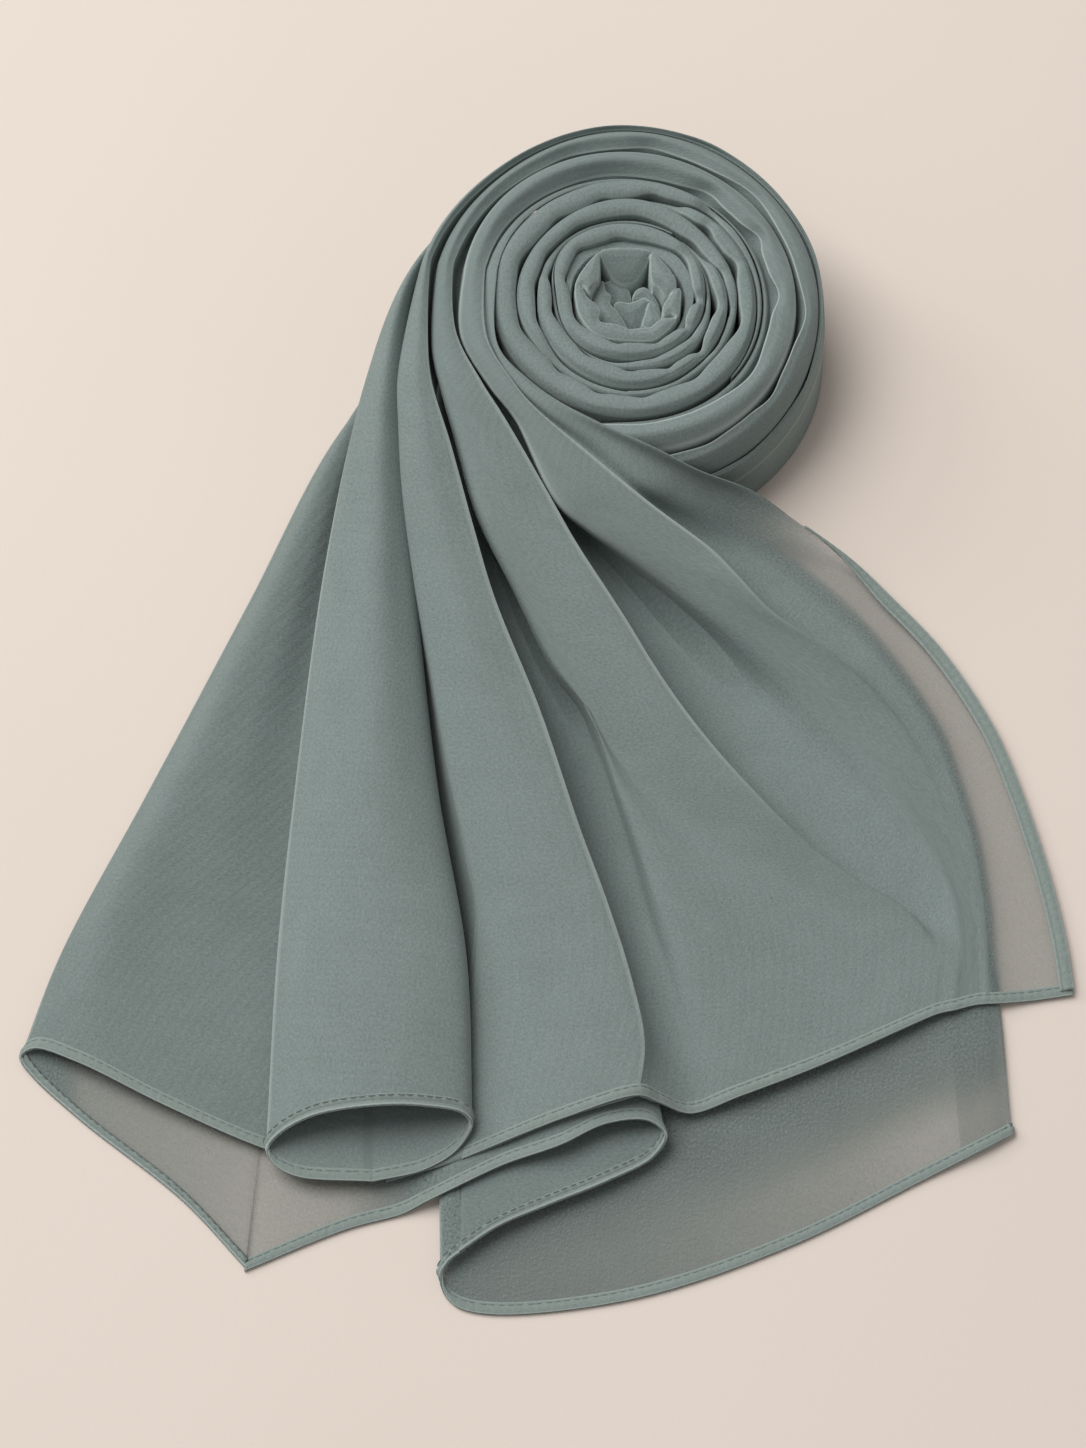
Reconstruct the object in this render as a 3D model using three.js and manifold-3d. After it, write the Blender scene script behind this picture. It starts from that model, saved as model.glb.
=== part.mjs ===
// A plain chiffon headscarf, about 800 x 1750 mm, laid on a flat surface.
// One end is folded lengthwise and wound into a roll that stands on its side.
// The other end opens out of the roll as a fan of soft pleats.
// Millimetres, +Z up, the surface under the scarf is z = 0, -Y is towards the viewer.
import * as THREE from 'three';
import { mergeVertices } from 'three/addons/utils/BufferGeometryUtils.js';
import Module from 'manifold-3d';

const wasm = await Module();
wasm.setup();

// Driving dimensions.
const wall = 1.0;             // cloth wall as built, real chiffon is thinner
const hemWidth = 3.0;         // turned and stitched edge
const hemWall = 1.5;          // three plies of cloth in the hem
const seamGap = 0.3;          // gap between neighbouring pieces
const hemGap = 0.7;           // gap between a panel and its hem, where the wall gets thicker
const rollCentre = [22.8, 104.3];
const rollHeight = 33;        // width of the lengthwise-folded strip
const turnPitch = 6.5;        // one turn of the folded strip, measured outward
const turnThickness = 6.1;    // folded strip itself, the rest is the gap between turns
const coreRadius = 10.6;
const innerTurns = 2.6;
const outerTurns = 2.8;
const rollEndAngle = 164;     // degrees, where the strip leaves the roll
const heapStandOff = 49;      // distance of the covered pleats from the roll's axis
const roomOverScarf = 60;     // taller than everything, for cutting
// The outer turns slip down at the lower right of the roll: how far, between which distances
// from its axis, and between which degrees clockwise from +X the slip starts and ends.
const slip = { depth: 18, fromRadius: 36, toRadius: 49, start: 10, full: 75, easing: 150, end: 200 };
// Section of the folded strip: a narrow recessed lip inside, a wide puffy lip outside.
// Columns: share of the strip's thickness, depth below its top.
const stripProfile = [
  [0, 3.6], [0.125, 2.3], [0.25, 2.6], [0.34, 3.6], [0.4, 1.3],
  [0.55, 0.15], [0.75, 0.15], [0.94, 1.3], [1, 3.4],
];
const innerStepsPerTurn = 28;
const outerStepsPerTurn = 36;
const turnBreak = 0.02;       // share of a turn between the inner and the outer turns
// The rosette: rings as shares of its radius, then its three lobes, six sides, bowl and rim.
const rosetteRings = [0, 0.2, 0.42, 0.6, 0.76, 0.9, 1];
const rosetteSteps = 36;
const rosetteClearance = 0.5;
const lobes = { count: 3, height: 2.2, fadeIn: 0.3, fadeOut: 0.5, end: 0.7 };
const lipSides = { count: 6, height: 0.6, fadeIn: 0.5, full: 0.8 };
const bowl = { depth: 6, fromShare: 0.35, toShare: 0.85, rimDrop: 2.4, rimShare: 0.88 };
const clothColour = '#84928f';
const hemColour = '#768783';

// Fold lines run from the neck at the roll to the hem. A row is one fold, its columns are
// [x, y, z] at the neck, shoulder, upper, middle, lower and hem stations.
const centreFolds = {
  leftEdge: [
    [-26.9, 115.4, 33], [-36, 82, 32], [-33, 34, 24], [-23, -22, 17], [-18, -56, 7.5],
    [-37, -119, 2.4],
  ],
  panelLeft: [
    [-26.2, 115, 33.2], [-34, 81, 32.5], [-27, 32, 24.5], [-15, -24, 16.5], [-9, -60, 9.8],
    [-17, -115, 7.4],
  ],
  panelMiddle: [
    [-25.6, 114.4, 33.2], [-31, 81, 32.6], [-20, 29, 24.2], [-4, -25, 17], [4, -64, 12.4],
    [6, -105, 10.8],
  ],
  ridgeOne: [
    [-25, 113.6, 33], [-27, 80, 32], [-12, 24, 23], [4, -20, 17.2], [19, -66, 13.6],
    [22, -101, 12.6],
  ],
  ridgeOneSide: [
    [-24.2, 112.4, 31.6], [-24.6, 80, 28], [-9.5, 23, 17], [8, -20, 11.5], [23, -66, 8.8],
    [28.5, -102, 8.2],
  ],
  valleyOne: [
    [-23.6, 111, 30.6], [-23, 80, 26], [-6, 26, 10.5], [12, -17, 6.8], [27, -64, 5.2],
    [35, -103, 3.6],
  ],
  slopeOne: [
    [-23, 109.2, 31.5], [-20.5, 80, 28.5], [-1, 30, 16], [23, -16, 9.4], [40, -60, 6.2],
    [47, -98.5, 4.3],
  ],
  slopeTwo: [
    [-22.4, 106.8, 32.5], [-18, 80, 31], [4, 34, 21.5], [34, -16, 12], [60, -54, 5.2],
    [67, -90.5, 4.1],
  ],
  ridgeTwo: [
    [-21.8, 104.6, 33.2], [-16, 80, 32.5], [8, 38, 25], [42, -13, 15], [76, -44.5, 7],
    [84, -83, 3.9],
  ],
  ridgeTwoSide: [
    [-20.8, 103.2, 32.1], [-13.6, 79.5, 29], [11, 38.5, 18.5], [46, -11, 9.5], [79, -41, 5.6],
    [89, -80.5, 3.8],
  ],
  valleyTwo: [
    [-19.6, 102, 31.1], [-11.6, 79, 27.5], [17, 38, 10.5], [51, -6, 5.8], [82, -36, 4.8],
    [93, -78.5, 3.7],
  ],
  slopeThree: [
    [-18, 100.6, 32.6], [-9, 78.6, 31], [21, 43, 17], [56, 1, 8.5], [86, -30, 4.8],
    [97, -77, 3.8],
  ],
  ridgeThree: [
    [-15.6, 97.6, 33.8], [-3, 75.5, 33], [32, 46, 24.5], [66, 17, 14], [92, -19, 5.6],
    [102, -75.6, 3.8],
  ],
  ridgeThreeSide: [
    [-14.6, 97, 33.4], [0, 74.4, 31.6], [39, 49, 17], [74, 20, 7], [97, -18, 4.2],
    [106, -75, 3.8],
  ],
  overEdge: [
    [-13.8, 96.5, 34], [4, 72, 33.4], [47, 53, 14], [84, 24, 3.8], [105, -22, 3.5],
    [111, -74.6, 3.6],
  ],
  outerStrip: [
    [-13.2, 96.2, 34.3], [8, 70, 34], [51, 55.5, 13.5], [90, 27, 1.4], [113, -22, 1],
    [119, -73.6, 1],
  ],
  longEdge: [
    [-12.6, 96, 34.5], [-4, 79, 34.5], [14, 66, 34.5], [39, 58.6, 25], [64, 53, 8], [100, 20, 0.9],
    [118, -18, 0.8], [128, -72, 0.8],
  ],
};

const tubeFolds = {
  baseRight: [
    [-29.2, 110.6, 6], [-35, 80, 6], [-37, 34, 5.2], [-37, -22, 4.6], [-35.5, -66, 5.2],
    [-35.5, -119, 4.9],
  ],
  underRight: [
    [-28.6, 111, 9], [-34, 80, 8], [-33, 34, 7], [-30, -22, 6], [-25, -66, 8], [-26, -116, 7.4],
  ],
  rightEdge: [
    [-28.6, 111.6, 16], [-33, 80, 14], [-31, 34, 12], [-26, -22, 10], [-18.6, -66, 12],
    [-17, -107, 10.6],
  ],
  topRight: [
    [-29.4, 112.4, 23.6], [-36, 82, 24], [-34, 34, 18], [-29, -20, 15.2], [-24, -64, 16],
    [-26, -105.4, 13.6],
  ],
  crest: [
    [-30.6, 112.8, 29.4], [-40, 84, 29.4], [-41, 37, 22.4], [-40, -19, 19.6], [-38, -62, 18],
    [-38, -105, 15.4],
  ],
  topLeft: [
    [-31.8, 112.6, 29], [-43, 86, 27.6], [-49, 38, 20], [-54, -18, 16.4], [-55, -62, 15],
    [-54, -107, 12.4],
  ],
  leftEdge: [
    [-32.8, 112, 26.4], [-45, 84, 23.6], [-54, 37, 16.6], [-60, -20, 12.4], [-63.4, -64, 9.8],
    [-65, -114, 6.6],
  ],
  underLeft: [
    [-32, 111.4, 19], [-42, 83, 16], [-50, 35, 9.6], [-56, -22, 7], [-59, -66, 5.6],
    [-58, -118, 4.2],
  ],
  baseLeft: [
    [-31, 110.8, 12], [-38, 81, 9.6], [-41, 34, 5.6], [-41, -22, 4.6], [-39.5, -67, 4.4],
    [-39, -119.4, 4.2],
  ],
};

const leftPanelFolds = {
  underEnd: [
    [-38, 99, 0.5], [-43, 80, 0.5], [-52, 34, 0.5], [-60, -30, 0.5], [-65, -80, 0.5],
    [-69.2, -139.6, 0.5],
  ],
  underMiddle: [
    [-38.4, 99.4, 0.5], [-46, 80, 0.5], [-60, 34, 0.5], [-76, -24, 0.5], [-86, -70, 0.5],
    [-85, -123, 0.5],
  ],
  underOuter: [
    [-38.8, 99.8, 0.5], [-50, 78, 0.5], [-70, 32, 0.5], [-94, -22, 0.5], [-110, -62, 0.5],
    [-110, -103.4, 0.5],
  ],
  foldLow: [
    [-39.4, 100.4, 0.8], [-53, 78, 0.8], [-73.6, 32, 0.8], [-97.6, -22, 0.8],
    [-115.4, -62, 0.8], [-122.6, -92, 0.8],
  ],
  foldEdge: [
    [-40.4, 101.4, 4], [-54.6, 78, 2.8], [-74.8, 32, 2.4], [-98.8, -22, 2.3],
    [-116.8, -62, 2.2], [-125, -88.4, 2.2],
  ],
  foldTop: [
    [-40, 101.6, 8], [-53, 78.6, 5], [-73, 33, 3.9], [-97, -21, 3.7], [-115, -61, 3.7],
    [-121.6, -86.6, 3.9],
  ],
  topOuter: [
    [-39.6, 101.8, 11], [-50, 79, 8.4], [-67, 34, 6.4], [-88, -20, 5], [-104, -60, 4.6],
    [-107, -91.4, 4.5],
  ],
  topMiddle: [
    [-39, 102, 12.6], [-47.4, 80, 10], [-60, 34, 7.2], [-74, -22, 5], [-84, -66, 4],
    [-85, -103, 3.8],
  ],
  topInner: [
    [-38.4, 102, 11], [-45, 80, 8.4], [-54, 33, 5], [-62, -26, 3.2], [-66, -74, 2.7],
    [-67, -110.6, 2.7],
  ],
  topEnd: [
    [-37.8, 101.6, 8], [-42.6, 79.6, 5.4], [-47, 33, 3], [-50, -26, 2.4], [-51, -76, 2.3],
    [-51, -115.6, 2.3],
  ],
};

// The lower folds start under the centre panel: columns are [x, y, z] at the covered end,
// the middle and the hem.
const flapFolds = {
  flapStart: [[-64.6, -80, 0.5], [-66, -108, 0.5], [-68.8, -139, 0.5]],
  flapLeft: [[-52, -80, 0.5], [-48, -104, 0.5], [-46, -130, 0.5]],
  flapMiddle: [[-40, -80, 0.5], [-38, -102, 0.6], [-33, -126.4, 0.8]],
  flapRise: [[-29, -77, 2], [-29, -100, 2.2], [-27.4, -124, 2.8]],
  flapOver: [[-21, -73, 4.2], [-21, -96, 4.6], [-20, -121, 5.4]],
  flapUp: [[-12, -70, 4.8], [-11, -90, 5.4], [-9, -116, 6.5]],
  flapHigh: [[0, -66, 5], [2, -86, 7.6], [4, -112, 8.8]],
  flapCrest: [[12, -64, 5], [14, -84, 8.2], [15, -107, 9.6]],
  flapTurnTop: [[19, -64, 3.8], [22.6, -84, 6.2], [25, -106, 8.4]],
  rightTurn: [[21, -64, 3], [24.8, -85, 4.2], [29, -109, 6]],
  turnUnder: [[19, -65, 2.3], [22.6, -87, 2.9], [26, -113.6, 4]],
  secondHigh: [[10, -66, 2.1], [13, -90, 2.4], [15, -121, 2.7]],
  secondMiddle: [[0, -70, 2.1], [2, -95, 2.4], [2, -127, 2.6]],
  secondLow: [[-9, -74, 2.2], [-9, -100, 2.6], [-10, -133.6, 3.4]],
  secondEnd: [[-17, -77, 2.2], [-18, -105, 2.6], [-18.4, -141, 3.3]],
};

const bottomFolds = {
  secondStart: [[-18, -77, 2.2], [-18.8, -105.6, 2.6], [-18.9, -141.4, 3.3]],
  leftTurnTop: [[-22, -78, 2.1], [-22.6, -108, 2.4], [-22.6, -144.2, 2.9]],
  leftTurn: [[-23.4, -78, 1.4], [-24.2, -110, 1.5], [-24, -145.3, 1.8]],
  leftTurnLow: [[-22, -78, 0.6], [-22.4, -111, 0.6], [-22, -146.4, 0.8]],
  thirdLeft: [[-12, -76, 0.5], [-10, -110, 0.5], [-7, -150.4, 0.5]],
  thirdMiddle: [[14, -68, 0.5], [20, -104, 0.5], [22, -146.4, 0.5]],
  thirdRight: [[48, -58, 0.5], [54, -92, 0.5], [58, -134, 0.5]],
  thirdOuter: [[80, -50, 0.7], [86, -80, 0.7], [90, -118, 0.7]],
  rightTurnTop: [[100, -46, 2], [104.6, -70, 2], [106, -110, 2]],
  rightTurn: [[106, -45, 1.3], [109.6, -68, 1.3], [111.4, -107, 1.3]],
  fourthStart: [[100, -46, 0.5], [104.6, -70, 0.5], [106, -110, 0.5]],
  fourthEnd: [[92, -48, 0.5], [97, -74, 0.5], [99, -113.4, 0.5]],
};

// Pleats that the panels cover, as one rounded heap. Columns as for the panels.
const heapFolds = {
  left: [[-24, 96, 3], [-30, 70, 3], [-29, 34, 3], [-22, -16, 3], [-16, -44, 3]],
  ridgeOne: [[-24, 97, 24], [-27, 72, 24], [-15, 24, 18.6], [-2, -16, 13], [6, -42, 10.6]],
  valleyOne: [[-22, 97, 22], [-21, 72, 18], [-6, 26, 7.2], [12, -16, 4.4], [20, -42, 3.6]],
  ridgeTwo: [[-20, 96, 24], [-15, 70, 25], [6, 34, 19.4], [36, -14, 9.6], [52, -32, 5.6]],
  valleyTwo: [[-18, 95, 22], [-8, 68, 21], [17, 38, 7.4], [51, -6, 3.6], [68, -24, 2.8]],
  ridgeThree: [[-16, 94, 24], [-2, 66, 24], [31, 42, 18], [64, 12, 8.6], [80, -12, 3.6]],
  right: [[-14, 93, 3], [6, 62, 3], [46, 46, 3], [78, 20, 1.6], [94, -10, 1.6]],
};

const cloth = new THREE.Color(clothColour);
const hemCloth = new THREE.Color(hemColour);

function clothMaterial(colour) {
  return new THREE.MeshStandardMaterial({ color: colour, roughness: 0.9, metalness: 0 });
}

function lineThrough(points) {
  const vectors = points.map(([x, y, z]) => new THREE.Vector3(x, y, z));
  return new THREE.CatmullRomCurve3(vectors, false, 'centripetal');
}

// Points on the cloth between two distances from the hem, as a grid: rows from the neck to
// the hem, columns across the folds.
function clothGrid(folds, rowCount, stepsPerFold, nearHem, farFromHem = Infinity) {
  const lines = Object.values(folds).map(lineThrough);
  const grid = [];
  for (let row = 0; row <= rowCount; row += 1) {
    const across = lines.map((line) => {
      const length = line.getLength();
      const start = Math.max(0, 1 - farFromHem / length);
      const end = 1 - nearHem / length;
      return line.getPointAt(start + ((end - start) * row) / rowCount);
    });
    const curve = new THREE.CatmullRomCurve3(across, false, 'centripetal');
    const steps = (across.length - 1) * stepsPerFold;
    const points = [];
    for (let step = 0; step <= steps; step += 1) {
      points.push(curve.getPoint(step / steps));
    }
    grid.push(points);
  }
  return grid;
}

function gridNormal(grid, row, column) {
  const lastRow = grid.length - 1;
  const lastColumn = grid[0].length - 1;
  const down = grid[Math.min(row + 1, lastRow)][column].clone();
  down.sub(grid[Math.max(row - 1, 0)][column]);
  const across = grid[row][Math.min(column + 1, lastColumn)].clone();
  across.sub(grid[row][Math.max(column - 1, 0)]);
  return down.cross(across).normalize();
}

// Closed geometry from two grids of the same size, the first on the outside.
function closedShell(outer, inner) {
  const rows = outer.length;
  const columns = outer[0].length;
  const layer = rows * columns;
  const positions = [];
  for (const grid of [outer, inner]) {
    for (const points of grid) {
      for (const point of points) {
        positions.push(point.x, point.y, point.z);
      }
    }
  }
  const indices = [];
  const quad = (a, b, c, d) => indices.push(a, b, c, a, c, d);
  for (let row = 0; row < rows - 1; row += 1) {
    for (let column = 0; column < columns - 1; column += 1) {
      const corner = row * columns + column;
      quad(corner, corner + columns, corner + columns + 1, corner + 1);
      const under = corner + layer;
      quad(under, under + 1, under + columns + 1, under + columns);
    }
  }
  for (let column = 0; column < columns - 1; column += 1) {
    const last = (rows - 1) * columns + column;
    quad(column, column + 1, column + 1 + layer, column + layer);
    quad(last, last + layer, last + 1 + layer, last + 1);
  }
  for (let row = 0; row < rows - 1; row += 1) {
    const first = row * columns;
    const last = first + columns - 1;
    quad(first, first + layer, first + columns + layer, first + columns);
    quad(last, last + columns, last + columns + layer, last + layer);
  }
  const geometry = new THREE.BufferGeometry();
  geometry.setAttribute('position', new THREE.Float32BufferAttribute(positions, 3));
  geometry.setIndex(indices);
  return geometry;
}

// Cloth of the given thickness round a grid of middle points. It never goes under the surface.
function clothWall(grid, thickness) {
  const side = (sign) => grid.map((points, row) => points.map((point, column) => {
    const moved = point.clone().addScaledVector(gridNormal(grid, row, column), (sign * thickness) / 2);
    moved.z = Math.max(moved.z, 0);
    return moved;
  }));
  return closedShell(side(1), side(-1));
}

function toSolid(geometry) {
  const bare = geometry.clone();
  bare.deleteAttribute('normal');
  bare.deleteAttribute('uv');
  const merged = mergeVertices(bare, 1e-4);
  return new wasm.Manifold(new wasm.Mesh({
    numProp: 3,
    vertProperties: new Float32Array(merged.attributes.position.array),
    triVerts: new Uint32Array(merged.index.array),
  }));
}

function fromSolid(solid) {
  const mesh = solid.getMesh();
  const geometry = new THREE.BufferGeometry();
  geometry.setAttribute('position', new THREE.Float32BufferAttribute(mesh.vertProperties, 3));
  geometry.setIndex(Array.from(mesh.triVerts));
  return geometry;
}

function smooth(from, to, value) {
  return THREE.MathUtils.smoothstep(value, from, to);
}

// Height of the lips: the outer turns slip down towards the lower right side of the roll.
function lipHeight(radius, angle) {
  const clockwise = slip.end - THREE.MathUtils.euclideanModulo(angle + slip.end, 360);
  const easing = 1 - smooth(slip.easing, slip.end, clockwise);
  const lowerRight = smooth(slip.start, slip.full, clockwise) * easing;
  const outward = smooth(slip.fromRadius, slip.toRadius, radius);
  return rollHeight - slip.depth * outward * lowerRight;
}

// One section of the folded strip, closed along its foot.
function stripSection(height) {
  const top = stripProfile.map(([share, depth]) => [share * turnThickness, height - depth]);
  return [[0, 0], ...top, [turnThickness, 0]];
}

// The folded strip wound from one turn number to another, as a closed sweep.
function woundStrip(fromTurn, toTurn, stepsPerTurn) {
  const steps = Math.round((toTurn - fromTurn) * stepsPerTurn);
  const sections = [];
  for (let step = 0; step <= steps; step += 1) {
    const turn = fromTurn + ((toTurn - fromTurn) * step) / steps;
    const angle = rollEndAngle + (turn - innerTurns - outerTurns) * 360;
    const radius = coreRadius + turn * turnPitch;
    const radians = THREE.MathUtils.degToRad(angle);
    sections.push(stripSection(lipHeight(radius, angle)).map(([out, z]) => new THREE.Vector3(
      rollCentre[0] + (radius + out) * Math.cos(radians),
      rollCentre[1] + (radius + out) * Math.sin(radians),
      z,
    )));
  }
  return sweptSolid(sections);
}

// Closed sweep of sections with the same number of points, ends filled.
function sweptSolid(sections) {
  const size = sections[0].length;
  const positions = sections.flat().flatMap((point) => [point.x, point.y, point.z]);
  const indices = [];
  for (let step = 0; step < sections.length - 1; step += 1) {
    for (let side = 0; side < size; side += 1) {
      const a = step * size + side;
      const b = step * size + ((side + 1) % size);
      indices.push(a, b, b + size, a, b + size, a + size);
    }
  }
  const flat = sections[0].map((point, index) => {
    const out = Math.hypot(point.x - rollCentre[0], point.y - rollCentre[1]);
    return new THREE.Vector2(out, sections[0][index].z);
  });
  const cap = THREE.ShapeUtils.triangulateShape(flat, []);
  const last = (sections.length - 1) * size;
  for (const [a, b, c] of cap) {
    indices.push(a, b, c);
    indices.push(last + a, last + c, last + b);
  }
  const geometry = new THREE.BufferGeometry();
  geometry.setAttribute('position', new THREE.Float32BufferAttribute(positions, 3));
  geometry.setIndex(indices);
  return geometry;
}

// How far round its first turn the strip has come at an angle, from 0 to 1.
function turnFraction(angle) {
  const start = THREE.MathUtils.degToRad(rollEndAngle - (innerTurns + outerTurns) * 360);
  return THREE.MathUtils.euclideanModulo(angle - start, Math.PI * 2) / (Math.PI * 2);
}

// Height of the rosette's top at a share of its radius and an angle round it.
function rosetteHeight(share, angle) {
  const lobeShare = smooth(0, lobes.fadeIn, share) * (1 - smooth(lobes.fadeOut, lobes.end, share));
  const lobe = lobes.height * Math.cos(lobes.count * angle) * lobeShare;
  const sideShare = smooth(lipSides.fadeIn, lipSides.full, share);
  const side = lipSides.height * Math.cos(lipSides.count * angle) * sideShare;
  const hollow = bowl.depth * (1 - smooth(bowl.fromShare, bowl.toShare, share));
  const rim = bowl.rimDrop * smooth(bowl.rimShare, 1, share);
  return rollHeight + lobe + side - hollow - rim;
}

// The rosette in the middle: a six-sided lip round a hollow with three curled lobes.
function rosette() {
  const around = rosetteSteps;
  const rings = rosetteRings;
  const top = [];
  for (const ring of rings) {
    for (let step = 0; step < around; step += 1) {
      const angle = (step / around) * Math.PI * 2;
      const reach = coreRadius - rosetteClearance + turnPitch * turnFraction(angle);
      const radius = ring * reach;
      top.push([radius * Math.cos(angle), radius * Math.sin(angle), rosetteHeight(ring, angle)]);
    }
  }
  const positions = [];
  for (const [x, y, z] of top.slice(around)) {
    positions.push(rollCentre[0] + x, rollCentre[1] + y, z);
  }
  const outerStart = (rings.length - 2) * around;
  for (const [x, y] of top.slice(-around)) {
    positions.push(rollCentre[0] + x, rollCentre[1] + y, 0);
  }
  const middleTop = positions.length / 3;
  positions.push(rollCentre[0], rollCentre[1], top[0][2]);
  positions.push(rollCentre[0], rollCentre[1], 0);
  const indices = [];
  for (let ring = 0; ring < rings.length - 1; ring += 1) {
    for (let step = 0; step < around; step += 1) {
      const next = (step + 1) % around;
      const a = ring * around + step;
      const b = ring * around + next;
      indices.push(a, a + around, b + around, a, b + around, b);
    }
  }
  for (let step = 0; step < around; step += 1) {
    const next = (step + 1) % around;
    indices.push(middleTop, step, next);
    const low = outerStart + around;
    indices.push(middleTop + 1, low + next, low + step);
  }
  const geometry = new THREE.BufferGeometry();
  geometry.setAttribute('position', new THREE.Float32BufferAttribute(positions, 3));
  geometry.setIndex(indices);
  return geometry;
}

// A point carried on past the first of two points by a distance.
function pastEnd(end, before, distance) {
  const step = end.clone().sub(before).setLength(distance);
  return end.clone().add(step);
}

// A grid made larger by the same distance on its four sides.
function widenedGrid(grid, distance) {
  const wide = grid.map((points) => {
    const last = points.length - 1;
    const first = pastEnd(points[0], points[1], distance);
    return [first, ...points, pastEnd(points[last], points[last - 1], distance)];
  });
  const lastRow = wide.length - 1;
  const start = wide[0].map((point, column) => pastEnd(point, wide[1][column], distance));
  const end = wide[lastRow].map((point, column) => pastEnd(point, wide[lastRow - 1][column], distance));
  return [start, ...wide, end];
}

// Space that the centre panel takes up, with its clearance and everything over it.
function spaceOverPanel(panelGrid) {
  const clearance = wall / 2 + seamGap;
  const grid = widenedGrid(panelGrid, 2 * clearance);
  const lower = grid.map((points, row) => points.map((point, column) => point.clone()
    .addScaledVector(gridNormal(grid, row, column), -clearance)));
  const upper = lower.map((points) => points.map((point) => point.clone().setZ(roomOverScarf)));
  return toSolid(closedShell(upper, lower));
}

const group = new THREE.Group();

function addPiece(name, geometry, colour) {
  const mesh = new THREE.Mesh(geometry, clothMaterial(colour));
  mesh.name = name;
  group.add(mesh);
}

const bodyEnd = hemWidth + hemGap;

function addPanel(name, folds, rows, steps) {
  addPiece(name, clothWall(clothGrid(folds, rows, steps, bodyEnd), wall), cloth);
}

function addHem(name, folds, steps) {
  addPiece(name, clothWall(clothGrid(folds, 1, steps, 0, hemWidth), hemWall), hemCloth);
}

addPiece('roll_core', rosette(), cloth);
addPiece('roll_inner_turns', woundStrip(0, innerTurns, innerStepsPerTurn), cloth);
const outerStrip = woundStrip(innerTurns + turnBreak, innerTurns + outerTurns, outerStepsPerTurn);
const centreGrid = clothGrid(centreFolds, 18, 2, bodyEnd);
const overPanel = spaceOverPanel(centreGrid);
addPiece('roll_outer_turns', fromSolid(toSolid(outerStrip).subtract(overPanel)), cloth);

addPanel('fan_centre_panel', centreFolds, 18, 2);
addPanel('fan_tube_pleat', tubeFolds, 12, 2);
addPanel('fan_left_panel', leftPanelFolds, 10, 2);
addPanel('lower_fold_upper', flapFolds, 4, 2);
addPanel('lower_fold_bottom', bottomFolds, 4, 2);
addHem('hem_centre_panel', centreFolds, 3);
addHem('hem_tube_pleat', tubeFolds, 3);
addHem('hem_left_panel', leftPanelFolds, 3);
addHem('hem_fold_upper', flapFolds, 3);
addHem('hem_fold_bottom', bottomFolds, 3);

const heapGrid = clothGrid(heapFolds, 8, 2, 0);
const heapFloor = heapGrid.map((points) => points.map((point) => point.clone().setZ(0)));
const besideRoll = new THREE.CylinderGeometry(heapStandOff, heapStandOff, 2 * roomOverScarf, 64);
besideRoll.rotateX(Math.PI / 2);
besideRoll.translate(rollCentre[0], rollCentre[1], 0);
const heap = toSolid(closedShell(heapGrid, heapFloor)).subtract(toSolid(besideRoll)).subtract(overPanel);
addPiece('hidden_pleats', fromSolid(heap), cloth);

// The origin is under the middle of the whole object, on the surface.
const box = new THREE.Box3().setFromObject(group);
group.position.set(-(box.min.x + box.max.x) / 2, -(box.min.y + box.max.y) / 2, -box.min.z);
group.updateMatrixWorld(true);

export default group;
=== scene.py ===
# %% [markdown]
# # A chiffon headscarf, laid flat and part rolled
# The scarf is one rectangle of plain chiffon, about 0.8 m by 1.75 m, with a narrow turned hem. One end is folded
# lengthwise and wound into a roll that stands on its side, and the other end opens out of the roll as a fan of pleats.
# The CAD model gives the frame: every piece made here rides on it and takes the place of the solids it stands for.

# %% Load the fixed frame
import math
import bpy
import numpy as np
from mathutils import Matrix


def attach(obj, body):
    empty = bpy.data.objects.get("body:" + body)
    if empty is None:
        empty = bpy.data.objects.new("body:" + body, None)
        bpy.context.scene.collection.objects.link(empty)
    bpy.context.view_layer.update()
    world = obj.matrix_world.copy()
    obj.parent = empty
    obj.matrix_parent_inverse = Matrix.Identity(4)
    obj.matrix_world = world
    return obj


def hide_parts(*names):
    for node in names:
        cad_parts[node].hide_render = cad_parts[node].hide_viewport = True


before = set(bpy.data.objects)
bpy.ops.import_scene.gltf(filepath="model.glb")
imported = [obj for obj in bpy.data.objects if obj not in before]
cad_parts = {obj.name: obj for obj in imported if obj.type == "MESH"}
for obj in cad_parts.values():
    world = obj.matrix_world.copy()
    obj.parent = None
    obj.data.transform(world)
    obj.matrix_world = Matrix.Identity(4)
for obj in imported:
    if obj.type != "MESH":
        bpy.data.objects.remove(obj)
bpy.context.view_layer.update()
print("CAD nodes:", sorted(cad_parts))

# %% [markdown]
# ## Camera
# The photograph looks down at the surface, 66 degrees above the horizon, from about 0.86 m away. A long lens keeps
# the perspective weak, as it is in the photograph, so the far side of the roll is only a little smaller.

# %% Camera
MM = 0.001
DRAWING_SHIFT = np.array([-1.150, -2.158, 0.0])   # millimetres, from the cloth's drawing to the model's own origin
CAMERA_HEIGHT_ANGLE = math.radians(66)
CAMERA_DISTANCE = 0.855
camera_data = bpy.data.cameras.new("camera")
camera_data.lens = 85
camera_data.sensor_fit = "VERTICAL"
camera_data.sensor_height = 36
camera_data.clip_start = 0.01
camera = bpy.data.objects.new("camera", camera_data)
camera.location = (
    DRAWING_SHIFT[0] * MM,
    DRAWING_SHIFT[1] * MM - CAMERA_DISTANCE * math.cos(CAMERA_HEIGHT_ANGLE),
    CAMERA_DISTANCE * math.sin(CAMERA_HEIGHT_ANGLE),
)
camera.rotation_euler = (math.pi / 2 - CAMERA_HEIGHT_ANGLE, 0, 0)
bpy.context.collection.objects.link(camera)
bpy.context.scene.camera = camera
print("camera at", [round(x, 3) for x in camera.location])

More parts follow.
